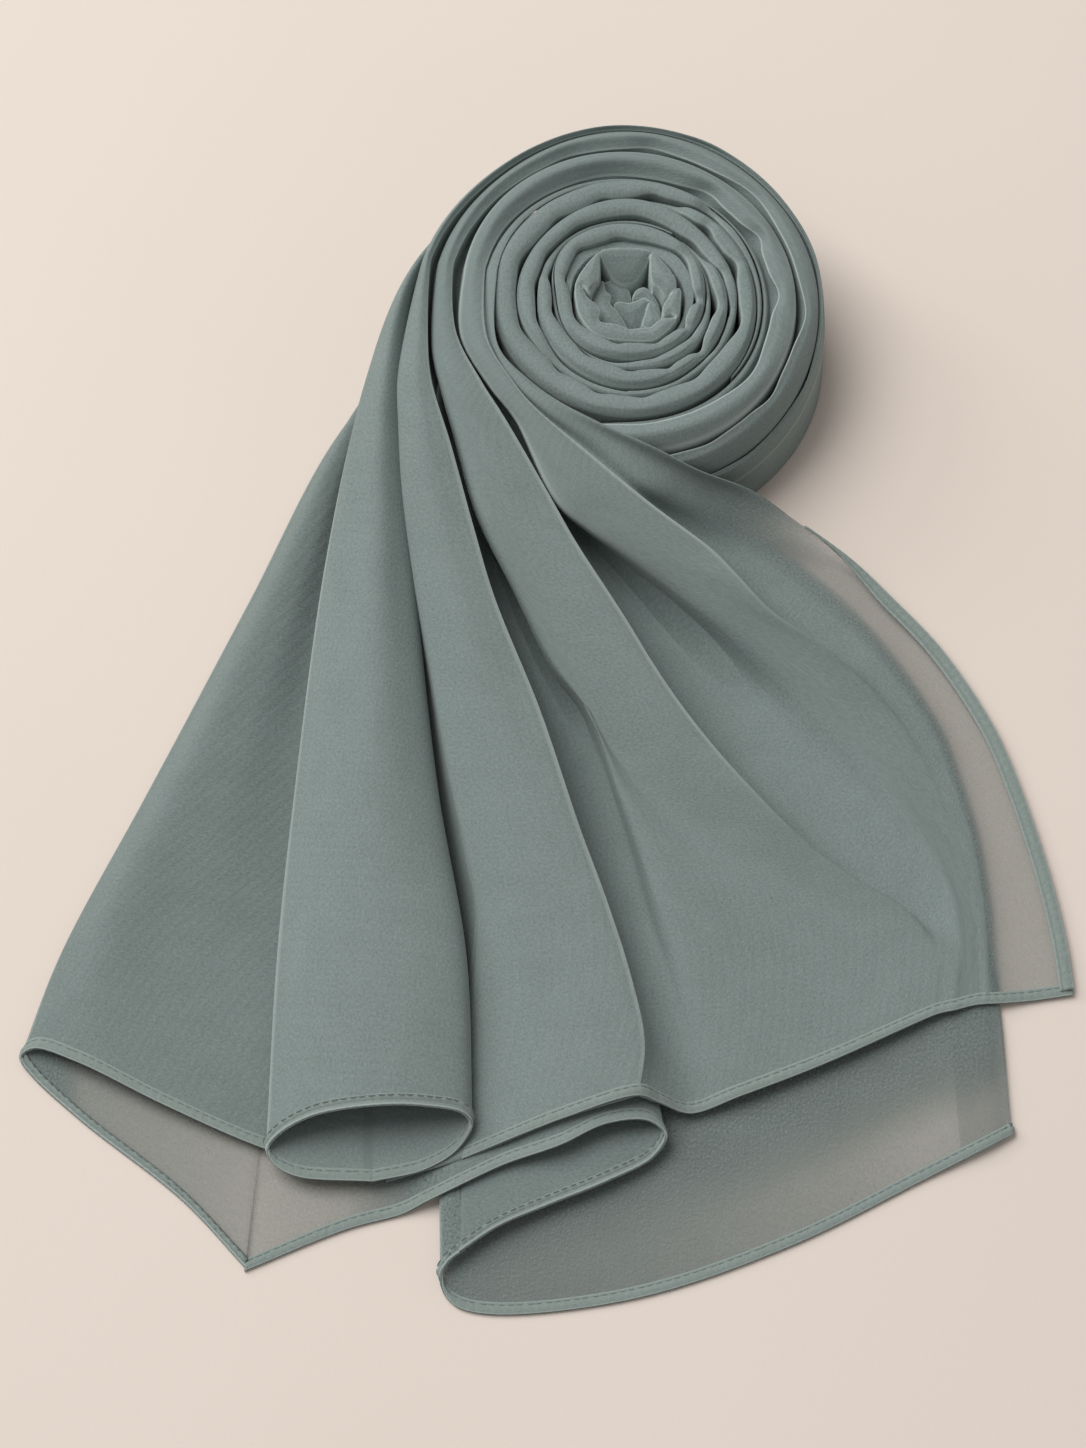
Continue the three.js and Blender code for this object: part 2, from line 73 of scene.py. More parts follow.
# %% [markdown]
# ## Colours and nodes
# Colours are written as the sRGB values that the eye reads off the cloth, and Blender works in linear light, so one
# function turns one into the other. A second small function adds a node with its settings and its links, which keeps
# each material readable as a list of what the real finish has.

# %% Colour and node helpers
def linear(colour):
    """Each channel c becomes c / 12.92 below 0.04045, and ((c + 0.055) / 1.055) to the power 2.4 above it."""
    c = np.array([int(colour[i:i + 2], 16) for i in (1, 3, 5)]) / 255
    return (*np.where(c <= 0.04045, c / 12.92, ((c + 0.055) / 1.055) ** 2.4), 1.0)


def add_node(material, kind, settings=None, links=None):
    """A node of that kind. Settings are its attributes or unlinked inputs, links its inputs fed by other sockets."""
    node = material.node_tree.nodes.new(kind)
    for key, value in (settings or {}).items():
        if isinstance(key, str) and hasattr(node, key):
            setattr(node, key, value)
        else:
            node.inputs[key].default_value = value
    for key, socket in (links or {}).items():
        material.node_tree.links.new(socket, node.inputs[key])
    return node


def new_material(name):
    material = bpy.data.materials.new(name)
    material.use_nodes = True
    material.node_tree.nodes.clear()
    return material


print("sage grey in linear light:", [round(float(x), 3) for x in linear("#84928f")[:3]])

# %% [markdown]
# ## The surface and the light
# The scarf lies on a plain warm white table top under one large soft window light from the upper left. The light is
# an area lamp about as wide as it is far away, which gives the long soft shadow at the roll's right side, and a pale
# sky fills the shadows. The roll and the fold edges need that one side light to read at all.

# %% Floor and lights
floor_material = new_material("painted_board_matt")
spot = add_node(floor_material, "ShaderNodeTexCoord")
mottle = add_node(floor_material, "ShaderNodeTexNoise", {"Scale": 3.0, "Detail": 3.0},
                  {"Vector": spot.outputs["Object"]})
grain = add_node(floor_material, "ShaderNodeTexNoise", {"Scale": 900.0, "Detail": 2.0},
                 {"Vector": spot.outputs["Object"]})
tone = add_node(floor_material, "ShaderNodeMix", {"data_type": "RGBA", 6: linear("#e3d6cb"), 7: linear("#ece1d8")},
                {0: mottle.outputs["Fac"]})
rough = add_node(floor_material, "ShaderNodeBump", {"Strength": 0.15, "Distance": 0.0002},
                 {"Height": grain.outputs["Fac"]})
matt = add_node(floor_material, "ShaderNodeBsdfPrincipled", {"Roughness": 0.9, "Specular IOR Level": 0.2},
                {"Base Color": tone.outputs[2], "Normal": rough.outputs["Normal"]})
add_node(floor_material, "ShaderNodeOutputMaterial", None, {"Surface": matt.outputs["BSDF"]})
floor_mesh = bpy.data.meshes.new("floor")
FLOOR_REACH, FLOOR_LEVEL = 3, -0.0002   # metres; a fifth of a millimetre under the cloth
floor_corners = [(FLOOR_REACH * x, FLOOR_REACH * y, FLOOR_LEVEL) for x, y in ((-1, -1), (1, -1), (1, 1), (-1, 1))]
floor_mesh.from_pydata(floor_corners, [], [(0, 1, 2, 3)])
floor_mesh.materials.append(floor_material)
floor = bpy.data.objects.new("floor", floor_mesh)
bpy.context.collection.objects.link(floor)


def area_light(name, place, target, size, power, colour):
    data = bpy.data.lights.new(name, "AREA")
    data.shape = "DISK"
    data.size = size
    data.energy = power
    data.color = linear(colour)[:3]
    light = bpy.data.objects.new(name, data)
    light.location = place
    aim = np.array(target) - np.array(place)
    light.rotation_euler = (math.atan2(math.hypot(aim[0], aim[1]), -aim[2]), 0, math.atan2(-aim[0], aim[1]))
    bpy.context.collection.objects.link(light)
    return light


area_light("window", (-1.05, 0.77, 2.25), (0, 0, 0), 2.0, 50.5, "#fffefd")
area_light("low_side_window", (-1.60, 1.00, 1.05), (0, 0, 0), 0.7, 8.0, "#fffefd")
world = bpy.data.worlds.new("studio")
world.use_nodes = True
world.node_tree.nodes["Background"].inputs["Color"].default_value = linear("#f7f5f4")
world.node_tree.nodes["Background"].inputs["Strength"].default_value = 0.33
bpy.context.scene.world = world
bpy.context.scene.view_settings.view_transform = "Standard"
print("one soft light from the upper left, pale sky")

# %% [markdown]
# ## Curves and surfaces
# Soft cloth has no straight lines, so every surface here is a grid of points between a few named fold lines. A
# smooth curve runs through the points of each line, and another one runs across the lines. This curve is the
# centripetal kind of Catmull-Rom, which passes through its points without loops, also where they are close together.

# %% Smooth curves as whole arrays
def through(points, places):
    """Cubic between each two points, whose slopes come from the neighbours, with steps as the root of the distance.
    Places counts along the points: 0 is the first, 1 the second. Further axes of points are done side by side."""
    p = np.asarray(points, float)
    ends = np.concatenate([2 * p[:1] - p[1:2], p, 2 * p[-1:] - p[-2:-1]])
    step = np.maximum(np.sqrt(np.linalg.norm(np.diff(ends, axis=0), axis=-1, keepdims=True)), 1e-3)
    i = np.clip(np.floor(places).astype(int), 0, len(p) - 2)
    f = (np.asarray(places) - i).reshape(-1, *[1] * (p.ndim - 1))
    a, b, c, d = (ends[i + k] for k in range(4))
    before, here, after = (step[i + k] for k in range(3))
    leave = here * ((b - a) / before - (c - a) / (before + here) + (c - b) / here)
    arrive = here * ((c - b) / here - (d - b) / (here + after) + (d - c) / after)
    return b + f * leave + f**2 * (3 * (c - b) - 2 * leave - arrive) + f**3 * (2 * (b - c) + leave + arrive)


def along(points, shares):
    """Points at the given shares of the smooth curve's length, from 0 at its start to 1 at its end."""
    fine = through(points, np.linspace(0, len(points) - 1, 40 * len(points)))
    far = np.concatenate([[0], np.cumsum(np.linalg.norm(np.diff(fine, axis=0), axis=1))])
    return np.stack([np.interp(np.asarray(shares) * far[-1], far, fine[:, k]) for k in range(3)], -1)


def length_of(points):
    fine = through(points, np.linspace(0, len(points) - 1, 40 * len(points)))
    return float(np.linalg.norm(np.diff(fine, axis=0), axis=1).sum())


def soft_step(low, high, value):
    """3 t squared less 2 t cubed, where t runs from 0 at low to 1 at high."""
    t = np.clip((np.asarray(value, float) - low) / (high - low), 0, 1)
    return t * t * (3 - 2 * t)


def across_places(lines, spacing, most=10, least=2):
    """Places across the fold lines, closer together where the lines are close: a step is about the spacing in mm."""
    gaps = np.linalg.norm(np.diff(lines, axis=0), axis=-1).mean(axis=1)
    steps = np.clip(np.ceil(gaps / spacing), least, most).astype(int)
    parts = [i + np.arange(n) / n for i, n in enumerate(steps)]
    return np.concatenate([*parts, [len(steps)]])


print("a quarter circle in 3 points, half way along:", along([[1, 0, 0], [0.707, 0.707, 0], [0, 1, 0]],
                                                              [0.5]).round(3))

# %% [markdown]
# ## From a grid to a thin cloth
# A cloth needs two faces and an edge, or its folds look like paper. The grid is its top face, and a second grid a
# little way under it along the surface's own normals is its back. Both share the rim, so the shell is closed. The
# thickness is 0.35 mm, about what chiffon with its crimp takes up. The mesh also gets a map in real metres that
# follows the threads, and two values at each point: how dense the cloth looks, and how much painted highlight it
# gets near a fold edge.

# %% Cloth shell
CLOTH = 0.35


def normals_of(grid):
    """The cross product of the steps down and across the grid, made one long."""
    normal = np.cross(np.gradient(grid, axis=0), np.gradient(grid, axis=1))
    return normal / np.maximum(np.linalg.norm(normal, axis=-1, keepdims=True), 1e-9)


def shell_faces(rows, columns, around=False):
    """Quads over the top grid, under the back grid and round the rim. Around closes the rows onto each other."""
    index = np.arange(rows * columns).reshape(rows, columns)
    if around:
        index = np.vstack([index, index[:1]])
    under = index + rows * columns
    a, b, c, d = index[:-1, :-1], index[1:, :-1], index[1:, 1:], index[:-1, 1:]
    e, f, g, h = under[:-1, :-1], under[:-1, 1:], under[1:, 1:], under[1:, :-1]
    faces = [np.stack([a, b, c, d], -1).reshape(-1, 4), np.stack([e, f, g, h], -1).reshape(-1, 4)]
    first, last = index[:, 0], index[:, -1]
    faces.append(np.stack([first[:-1], under[:-1, 0], under[1:, 0], first[1:]], -1))
    faces.append(np.stack([last[:-1], last[1:], under[1:, -1], under[:-1, -1]], -1))
    if not around:
        faces.append(np.stack([index[0, :-1], index[0, 1:], under[0, 1:], under[0, :-1]], -1))
        faces.append(np.stack([index[-1, :-1], under[-1, :-1], under[-1, 1:], index[-1, 1:]], -1))
    return np.concatenate(faces)


def cloth_object(name, points, faces, material, values, threads):
    """Points in drawing millimetres become a mesh in metres. Values are per point, threads the map in metres."""
    mesh = bpy.data.meshes.new(name)
    mesh.from_pydata(((points + DRAWING_SHIFT) * MM).tolist(), [], faces.tolist())
    mesh.shade_smooth()
    for key, value in values.items():
        layer = mesh.attributes.new(key, "FLOAT", "POINT")
        layer.data.foreach_set("value", np.asarray(value, np.float32).ravel())
    corner = np.empty(len(mesh.loops), int)
    mesh.loops.foreach_get("vertex_index", corner)
    layer = mesh.uv_layers.new(name="threads")
    layer.data.foreach_set("uv", (threads[corner] * MM).astype(np.float32).ravel())
    mesh.materials.append(material)
    piece = bpy.data.objects.new(name, mesh)
    bpy.context.collection.objects.link(piece)
    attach(piece, "root")
    print(f"{name}: {len(points)} points, {2 * len(faces)} triangles")
    return piece


def lay_cloth(name, grid, material, dense, edge, thickness=CLOTH, around=False):
    """A closed thin shell under the grid, never lower than the table. Around closes the rows onto each other."""
    if around:
        normal = normals_of(np.concatenate([grid[-1:], grid, grid[:1]]))[1:-1]
    else:
        normal = normals_of(grid)
    back = grid - normal * thickness
    back[..., 2] = np.maximum(back[..., 2], 0.02)
    top = grid.copy()
    top[..., 2] = np.maximum(top[..., 2], 0.12)
    down = np.cumsum(np.linalg.norm(np.diff(grid, axis=0, prepend=grid[:1]), axis=-1), axis=0)
    over = np.cumsum(np.linalg.norm(np.diff(grid, axis=1, prepend=grid[:, :1]), axis=-1), axis=1)
    threads = np.stack([over, down], -1).reshape(-1, 2)
    # Edge is the strength of the painted highlight at each point.
    dense, edge = (np.broadcast_to(v, grid.shape[:2]).reshape(-1) for v in (dense, edge))
    return cloth_object(
        name,
        np.concatenate([top.reshape(-1, 3), back.reshape(-1, 3)]),
        shell_faces(*grid.shape[:2], around),
        material,
        {"dense": np.tile(dense, 2), "edge": np.tile(edge, 2)},
        np.tile(threads, (2, 1)),
    )


print("cloth thickness", CLOTH, "mm")

# %% [markdown]
# ## Chiffon
# Polyester chiffon is woven from hard twisted crepe yarn, about 40 threads to the centimetre. The twist makes the
# surface pebbled and almost without shine, and the open weave lets what is under it show through. The threads
# themselves are finer than a pixel here, so the pebble is drawn at 0.7 mm, coarser than the real one. The pale
# line along each fold edge is a painted highlight: the "edge" value that every piece of cloth carries mixes the colour
# toward a pale tone there, where a fold would catch the light.

# %% Chiffon material
def make_chiffon(name, body_colour, pale_colour, painted_highlight_colour, sheen):
    material = new_material(name)
    threads = add_node(material, "ShaderNodeUVMap", {"uv_map": "threads"})
    # Crepe pebble of 0.7 mm, drifting tone of 7 mm and slow dye variation of 40 mm.
    pebble = add_node(material, "ShaderNodeTexNoise", {"Scale": 1 / 0.0007, "Detail": 2.0, "Roughness": 0.75},
                      {"Vector": threads.outputs["UV"]})
    drift = add_node(material, "ShaderNodeTexNoise", {"Scale": 1 / 0.007, "Detail": 3.0},
                     {"Vector": threads.outputs["UV"]})
    dye = add_node(material, "ShaderNodeTexNoise", {"Scale": 1 / 0.04, "Detail": 1.0},
                   {"Vector": threads.outputs["UV"]})
    warp = add_node(material, "ShaderNodeTexWave",
                    {"Scale": 1 / 0.0085, "Distortion": 1.5, "Detail": 2.0, "Detail Scale": 4.0},
                    {"Vector": threads.outputs["UV"]})
    mixed = add_node(material, "ShaderNodeMath", {"operation": "MULTIPLY_ADD", 1: 5.0},
                     {0: pebble.outputs["Fac"], 2: drift.outputs["Fac"]})
    mixed = add_node(material, "ShaderNodeMath", {"operation": "MULTIPLY_ADD", 1: 0.6},
                     {0: dye.outputs["Fac"], 2: mixed.outputs[0]})
    share = add_node(material, "ShaderNodeMapRange", {"From Min": 1.5, "From Max": 5.1}, {"Value": mixed.outputs[0]})
    cloth = add_node(material, "ShaderNodeMix", {"data_type": "RGBA", 6: linear(body_colour), 7: linear(pale_colour)},
                     {0: share.outputs["Result"]})
    # Painted highlight: where the "edge" value is high, the colour is mixed toward the pale highlight colour.
    edge = add_node(material, "ShaderNodeAttribute", {"attribute_name": "edge"})
    cloth = add_node(material, "ShaderNodeMix", {"data_type": "RGBA", 7: linear(painted_highlight_colour)},
                     {0: edge.outputs["Fac"], 6: cloth.outputs[2]})
    height = add_node(material, "ShaderNodeMath", {"operation": "MULTIPLY_ADD", 1: 0.25},
                      {0: warp.outputs["Fac"], 2: pebble.outputs["Fac"]})
    pebbled = add_node(material, "ShaderNodeBump", {"Strength": 0.6, "Distance": 0.00022},
                       {"Height": height.outputs[0]})
    rough = add_node(material, "ShaderNodeMapRange", {"To Min": 0.72, "To Max": 0.88}, {"Value": pebble.outputs["Fac"]})
    # The open weave: where the yarns crowd together it is less see-through.
    dense = add_node(material, "ShaderNodeAttribute", {"attribute_name": "dense"})
    crowd = add_node(material, "ShaderNodeMapRange", {"From Min": 0.3, "From Max": 0.7, "To Min": 0.7, "To Max": 1.3},
                     {"Value": pebble.outputs["Fac"]})
    cover = add_node(material, "ShaderNodeMath", {"operation": "MULTIPLY"},
                     {0: dense.outputs["Fac"], 1: crowd.outputs["Result"]})
    whole = add_node(material, "ShaderNodeMapRange", {"From Min": 0.7, "From Max": 0.9},
                     {"Value": dense.outputs["Fac"]})
    cover = add_node(material, "ShaderNodeMix", {"data_type": "FLOAT"},
                     {0: whole.outputs["Result"], 2: cover.outputs[0], 3: dense.outputs["Fac"]})
    body = add_node(material, "ShaderNodeBsdfPrincipled",
                    {"Specular IOR Level": 0.25, "Sheen Weight": sheen, "Sheen Roughness": 0.45,
                     "Sheen Tint": linear("#dfe8e4")},
                    {"Base Color": cloth.outputs[2], "Roughness": rough.outputs["Result"],
                     "Normal": pebbled.outputs["Normal"], "Alpha": cover.outputs[0]})
    add_node(material, "ShaderNodeOutputMaterial", None, {"Surface": body.outputs["BSDF"]})
    return material


# The third colour of each material is the painted highlight along the fold edges.
chiffon = make_chiffon("polyester_chiffon_crepe", "#697673", "#909d9b", "#bcc8c5", 0.2)
hem_cloth = make_chiffon("turned_chiffon_hem_three_plies", "#78857f", "#98a4a1", "#b8c3c0", 0.25)
print("materials:", chiffon.name, hem_cloth.name)

# %% [markdown]
# ## The cloth that winds round the roll and fans out
# The outer turns of the roll and the centre of the fan are one stretch of cloth: its pleats lie round the roll as
# wide lips and leave it on the left as ridges that run down to the hem. So they are made as one surface. Each fold
# line has two parts. Round the roll it is given by its distance from the roll's axis and its height, at eight
# directions. In the fan it is given by points from the neck to the hem. From left to right in the fan, and from
# outside to inside in the roll, each ridge is followed by a steep drop into a valley.

# %% Fold lines of the wound cloth
ROLL_AXIS = np.array([21.5, 103.9])
ROLL_DIRECTIONS = [-112, -90, -47, 0, 46, 90, 133, 168]
# name: (distances from the axis, heights, then points in the fan from the neck to the hem)
WOUND_FOLDS = {
    "foot": ([51, 51.5, 51, 51.8, 52.2, 52.6, 52.3, 54.0], [0.4, 0.4, 0.4, 0.4, 0.4, 0.4, 0.4, 0.4],
             [[-32.4, 83, 0.6], [-34, 51.5, 0.6], [-33.4, 31, 0.6], [-30, 4.8, 0.6], [-27, -17.2, 0.6],
              [-23, -41, 0.6], [-22, -56, 0.6], [-25, -88, 0.6], [-37.4, -118.6, 1.2]]),
    "side": ([50.6, 51, 50.4, 51.2, 51.8, 52.5, 52.0, 54.2], [5, 5, 6, 9, 13, 13, 13, 13],
             [[-34.6, 83, 14], [-34.2, 51.5, 10], [-32.6, 31, 7], [-28.4, 4.8, 5], [-25.2, -17.2, 4.4],
              [-21.2, -41, 3.8],
              [-19.6, -55.9, 3.4], [-23.4, -88, 2.6], [-37.2, -118.8, 1.8]]),
    "rim": ([49.5, 50, 50.2, 51.0, 51.4, 52.4, 51.8, 53.9], [11, 11, 13, 19.5, 26, 28, 29, 30],
            [[-36.6, 83.2, 29.6], [-36.4, 71, 27.8], [-35.2, 52.8, 24], [-32.2, 32.6, 20.4], [-27.5, 6.5, 16.2],
             [-23.6, -15.7, 13.4], [-18.6, -39.6, 10.4], [-16.1, -54.6, 8.6], [-22, -87.4, 4.4], [-37, -119, 2.4]]),
    "panel_left": ([48.9, 49.3, 49.7, 50.5, 51.0, 52.2, 51.4, 53.2], [13.4, 14.2, 16, 24, 29.6, 31, 32, 32.6],
                   [[-35.9, 82.3, 31.2], [-35.7, 70.3, 29], [-34.5, 52.1, 25.4], [-31.4, 32, 21.6],
                    [-26.7, 5.9, 17.4],
                    [-22.7, -16, 14.4], [-17.6, -40, 11.4], [-14.9, -55, 9.8], [-15.5, -87, 7.4],
                    [-19, -114.4, 5.6]]),
    "panel_middle": ([48.5, 48.9, 49.2, 50.0, 50.3, 51.8, 50.5, 52.2], [16.4, 17.4, 19, 27.4, 32.2, 32.8, 33.4, 33.8],
                     [[-31.6, 80, 33], [-23, 29, 25], [-5, -25, 17.6], [4, -64, 13.2], [5, -106, 10.9]]),
    "ridge_one": ([47.6, 48, 48.4, 49.1, 49.6, 51.1, 49.6, 51.2], [17.4, 18.4, 19.8, 27, 31, 31.6, 32, 33],
                  [[-29, 90, 33], [-28, 80, 32.2], [-23, 63, 30], [-17, 41, 26], [-12, 24, 23.2], [-1, -4, 19.4],
                   [9, -35, 16.5], [15, -52, 15], [21, -72, 13.6], [24, -88, 12.6], [22.4, -101, 12.4]]),
    "drop_one": ([47.4, 47.8, 48.25, 48.95, 49.4, 50.9, 49.4, 50.8], [13, 14, 15.5, 22.5, 29.4, 30.6, 30, 28],
                 [[-29.1, 93, 25], [-27.4, 85.1, 21], [-22.9, 69.3, 13.9], [-16.5, 48.5, 8.4], [-11.6, 30.8, 5.9],
                  [-6, 17.1, 4.4], [-0.7, 2, 3.8], [9.8, -30.7, 3.6], [15.8, -49.2, 3.8], [21.9, -70, 6],
                  [26.6, -88.1, 7],
                  [27.6, -101.6, 8.6]]),
    "valley_one": ([47.2, 47.6, 48.1, 48.8, 49.2, 50.7, 49.2, 50.2], [12.6, 13.6, 15, 22, 29.4, 30.6, 30, 27],
                   [[-28.6, 94.2, 23], [-26.3, 86.3, 19], [-22.5, 74.5, 11.9], [-16.5, 54.4, 6.9], [-7.1, 33.7, 4],
                    [1.8, 12.2, 3], [9.2, 0.3, 2.7], [14.8, -13, 2.6], [21.5, -37.6, 2.6], [24.8, -52, 2.6],
                    [28.7, -65.1, 3.8], [32.8, -84.3, 3.6], [35, -102.6, 3.4]]),
    "lip_one": ([46.9, 47.3, 47.9, 48.6, 49.0, 50.5, 49.0, 49.2], [17, 18, 21, 28.6, 31.2, 31.8, 31.6, 32],
                [[-27.7, 89.2, 31.6], [-25.6, 79.3, 31.2], [-21.8, 66.8, 29.6], [-15.8, 45.6, 25.4], [-6.4, 26.6, 20],
                 [2.5, 9.3, 15], [11.6, -3.1, 12.4], [18.4, -22.1, 9.8], [24.8, -39.9, 8.4], [31.1, -60.1, 7],
                 [37.5, -80, 5.8], [47, -98.5, 4.3]]),
    "slope_one": ([45.1, 45.5, 45.8, 46.2, 46.3, 47.9, 46.9, 47.1], [24, 25, 27, 31, 33.2, 34, 33.9, 33.8],
                  [[-25.4, 88.4, 33], [-22.8, 78.5, 32.6], [-16.7, 66, 31], [-9.9, 47.2, 27.6], [-1.2, 26.5, 22],
                   [7.9, 6.4, 15.4], [16.5, -10.3, 10.4], [27.4, -24, 8.2], [39.5, -34.6, 7], [52.7, -46.7, 5.6],
                   [63.3, -61.7, 4.4], [67, -90.5, 4.1]]),
    "ridge_two": ([43, 43.4, 43.7, 43.7, 43.6, 45.2, 44.7, 45.3], [25.4, 26.6, 28.6, 32.2, 32.6, 31.8, 32, 33],
                  [[-22, 93.9, 33], [-15.6, 80, 32.5], [-10, 70.8, 31], [1.2, 51.2, 27], [8.4, 38, 25],
                   [20.7, 18.7, 21],
                   [26.8, 8.5, 19], [33.6, -1.9, 17], [41.8, -12.6, 15], [51.7, -23.9, 13], [60.1, -32.3, 11],
                   [68.3, -39.1, 9], [76.7, -44.7, 7.2], [87.8, -51.3, 5.6], [93.6, -59.2, 4.6], [94.4, -69.3, 4.2],
                   [93.5, -78.3, 3.9]]),
    "drop_two": ([42.8, 43.2, 43.55, 43.45, 43.4, 45, 44.5, 45], [21.6, 22.4, 23.6, 26.8, 28.6, 29, 28.4, 28],
                 [[-21.9, 96.3, 27], [-15.4, 82.6, 25], [-9.6, 74.4, 20.9], [1.8, 55.9, 14.4], [9.2, 43.5, 10.4],
                  [21.7, 24.4, 6], [28, 13.6, 4.8], [34.8, 2.4, 4], [43.1, -9.1, 3.6], [52.9, -21.3, 3.3],
                  [61.3, -30.5, 3], [69.4, -38.1, 3], [77.4, -44.8, 3], [89.5, -52.4, 2.8], [96.2, -60.3, 4.1],
                  [96.7, -70.5, 3.9], [95.8, -77.5, 3.8]]),
    "valley_two": ([42.5, 42.9, 43.3, 43.0, 43.2, 44.7, 44.45, 43.8], [21, 21.8, 23, 26, 28.6, 29, 28.2, 27],
                   [[-21.4, 97.4, 25], [-14.2, 84.3, 22], [-7.6, 76.4, 19], [4.3, 57.7, 10.4], [14.5, 47.2, 6.4],
                    [27, 33.8, 4.4], [39.4, 20.8, 3.6], [52.2, 7.2, 3.2], [63.8, -6.3, 2.9], [75.8, -17, 2.7],
                    [88.6, -35.6, 2.6], [96.5, -49.9, 2.6], [99.5, -64.1, 3.9], [98.3, -77, 3.8]]),
    "lip_two": ([41.9, 42.3, 42.9, 42.6, 43.1, 44.3, 44.2, 42.4], [23, 28, 29.8, 31.4, 31.6, 31.8, 31.8, 31.8],
                [[-20.7, 93.3, 32], [-13.3, 78.8, 31.6], [-6.8, 69.9, 30.6], [3.5, 49.1, 25.6], [11.7, 42.9, 23],
                 [20, 37.7, 20.6], [29.6, 31.2, 18], [38.3, 24.9, 15.6], [46.5, 19, 13], [54, 13.2, 10.8],
                 [63.8, 4.5, 8.2],
                 [76, -8.4, 6.2], [88.9, -26.6, 4.8], [98, -43.5, 4], [101.3, -61.6, 3.6], [100.2, -76.4, 3.4]]),
    "slope_two": ([39, 39.3, 40, 39.5, 40, 40.9, 41, 39.8], [27, 32.6, 32.8, 32.8, 33.4, 34, 34, 33.8],
                  [[-18.4, 92.5, 33.4], [-10.8, 78, 33], [-3.2, 67.5, 31.8], [8, 52.3, 28.6], [16.7, 46.6, 26.2],
                   [26.6, 39.6, 23.4], [36.5, 32.7, 20.6], [46.5, 26, 17.4], [57.7, 17.8, 13.8], [68.7, 7.3, 10.4],
                   [79.6, -6.4, 7.2], [91.4, -24.3, 4.9], [99.8, -41, 3.8], [102.8, -59, 3.4], [102, -75.8, 3.2]]),
    "ridge_three": ([35.6, 35.9, 36.8, 36.6, 37, 37.7, 38, 37.1], [26.4, 31.8, 32.6, 32.8, 31.4, 30.2, 31, 33],
                    [[-14.2, 92, 33.7], [-8, 80, 33.5], [-2, 72, 32.8], [11, 61, 30.4], [26, 49, 26.4],
                     [42, 38, 21.6],
                     [48, 32, 20], [57, 23, 17], [67, 17, 14], [73, 13, 12], [78.5, 8.9, 10], [88.5, -2.2, 6],
                     [96.6, -18.9, 4.2], [102, -35.8, 3.5], [104.7, -56.5, 3.2], [104, -75.3, 3]]),
    "drop_three": ([35.4, 35.7, 36.6, 36.4, 36.8, 37.4, 37.7, 36.9], [24, 28, 28, 27, 27.5, 28, 29, 32],
                   [[-12.9, 90.2, 32.4], [-7.3, 79.1, 32], [-0.8, 71.7, 31.2], [12, 61.5, 28], [22.2, 53.6, 24.6],
                    [29.4, 50.6, 17.5], [35.8, 47.2, 13], [43.1, 43.4, 9.6], [49, 36.5, 8.6], [58.4, 27.1, 7.4],
                    [67.8, 19.2, 6.4], [73.7, 15.1, 6.2],
                    [79.5, 9.7, 6.6], [89.7, -1.6, 5.2], [98.2, -18.1, 3.8], [104, -35.5, 3.3], [106.6, -56.4, 3],
                    [106.2, -75, 2.9]]),
    "strip_one": ([35.2, 35.4, 36, 35.8, 36.4, 37.2, 37.3, 36.2], [24.4, 29.4, 29.6, 29, 29.4, 30, 31, 33],
                  [[-12.3, 88.8, 33.7], [-6.3, 78.2, 33.6], [1.2, 70.6, 33], [15.2, 61.8, 30.4], [25.7, 53.8, 26.4],
                   [33.3, 51.8, 21], [41.1, 50.7, 15.5], [50.3, 47.9, 10.6], [62.5, 41.7, 7.2],
                   [77.4, 28.7, 5], [84.7, 19.8, 4.4],
                   [92, 8.6, 3.9], [98.5, -3.6, 3.4], [102.3, -16.8, 3], [105.8, -31.6, 2.8], [107.7, -50, 2.7],
                   [108, -64, 2.6], [108.5, -74.8, 2.5]]),
    "strip_two": ([34.8, 35, 35.3, 35.2, 35.9, 36.6, 36.4, 35], [24.6, 29.8, 30, 29.6, 30, 30.4, 31.4, 33.4],
                  [[-11.6, 88.6, 34.2], [-3.4, 77.6, 34.2], [4.2, 70.6, 34], [19.2, 63.2, 31], [33.1, 59, 25],
                   [47.2, 56.2, 16], [62.7, 48.9, 8], [77.8, 37, 3.6], [90.1, 22.5, 1.6], [100.6, 4.7, 1.1],
                   [109.5, -18.3, 1], [114.3, -42.2, 1], [116.5, -63, 1], [117.5, -73.6, 1]]),
    "long_edge": ([34.2, 34.3, 34.6, 34.6, 35.6, 36.2, 35.6, 33.9], [24.4, 29.6, 29.8, 29.2, 29.8, 30.2, 31.2, 33.6],
                  [[-11.4, 89, 34.4], [-4, 79, 34.8], [2, 74, 34.8], [14, 66.6, 34.6], [28, 61, 31.4], [39, 58, 25.4],
                   [54, 57, 15.4], [64, 53, 8.4], [78, 44, 3.4], [88, 34, 1.8], [100, 20, 1.2], [112, -1, 1],
                   [118, -18, 1],
                   [124, -42, 1], [127, -60, 1], [128, -72, 0.9]]),
}
WOUND_ROWS = 210
FAN_ROWS = 170


def at_direction(degrees, distance, height):
    """A point at a distance from the roll's axis, in a direction counted from +X towards +Y."""
    angle = np.radians(degrees)
    return np.stack([ROLL_AXIS[0] + distance * np.cos(angle), ROLL_AXIS[1] + distance * np.sin(angle), height], -1)


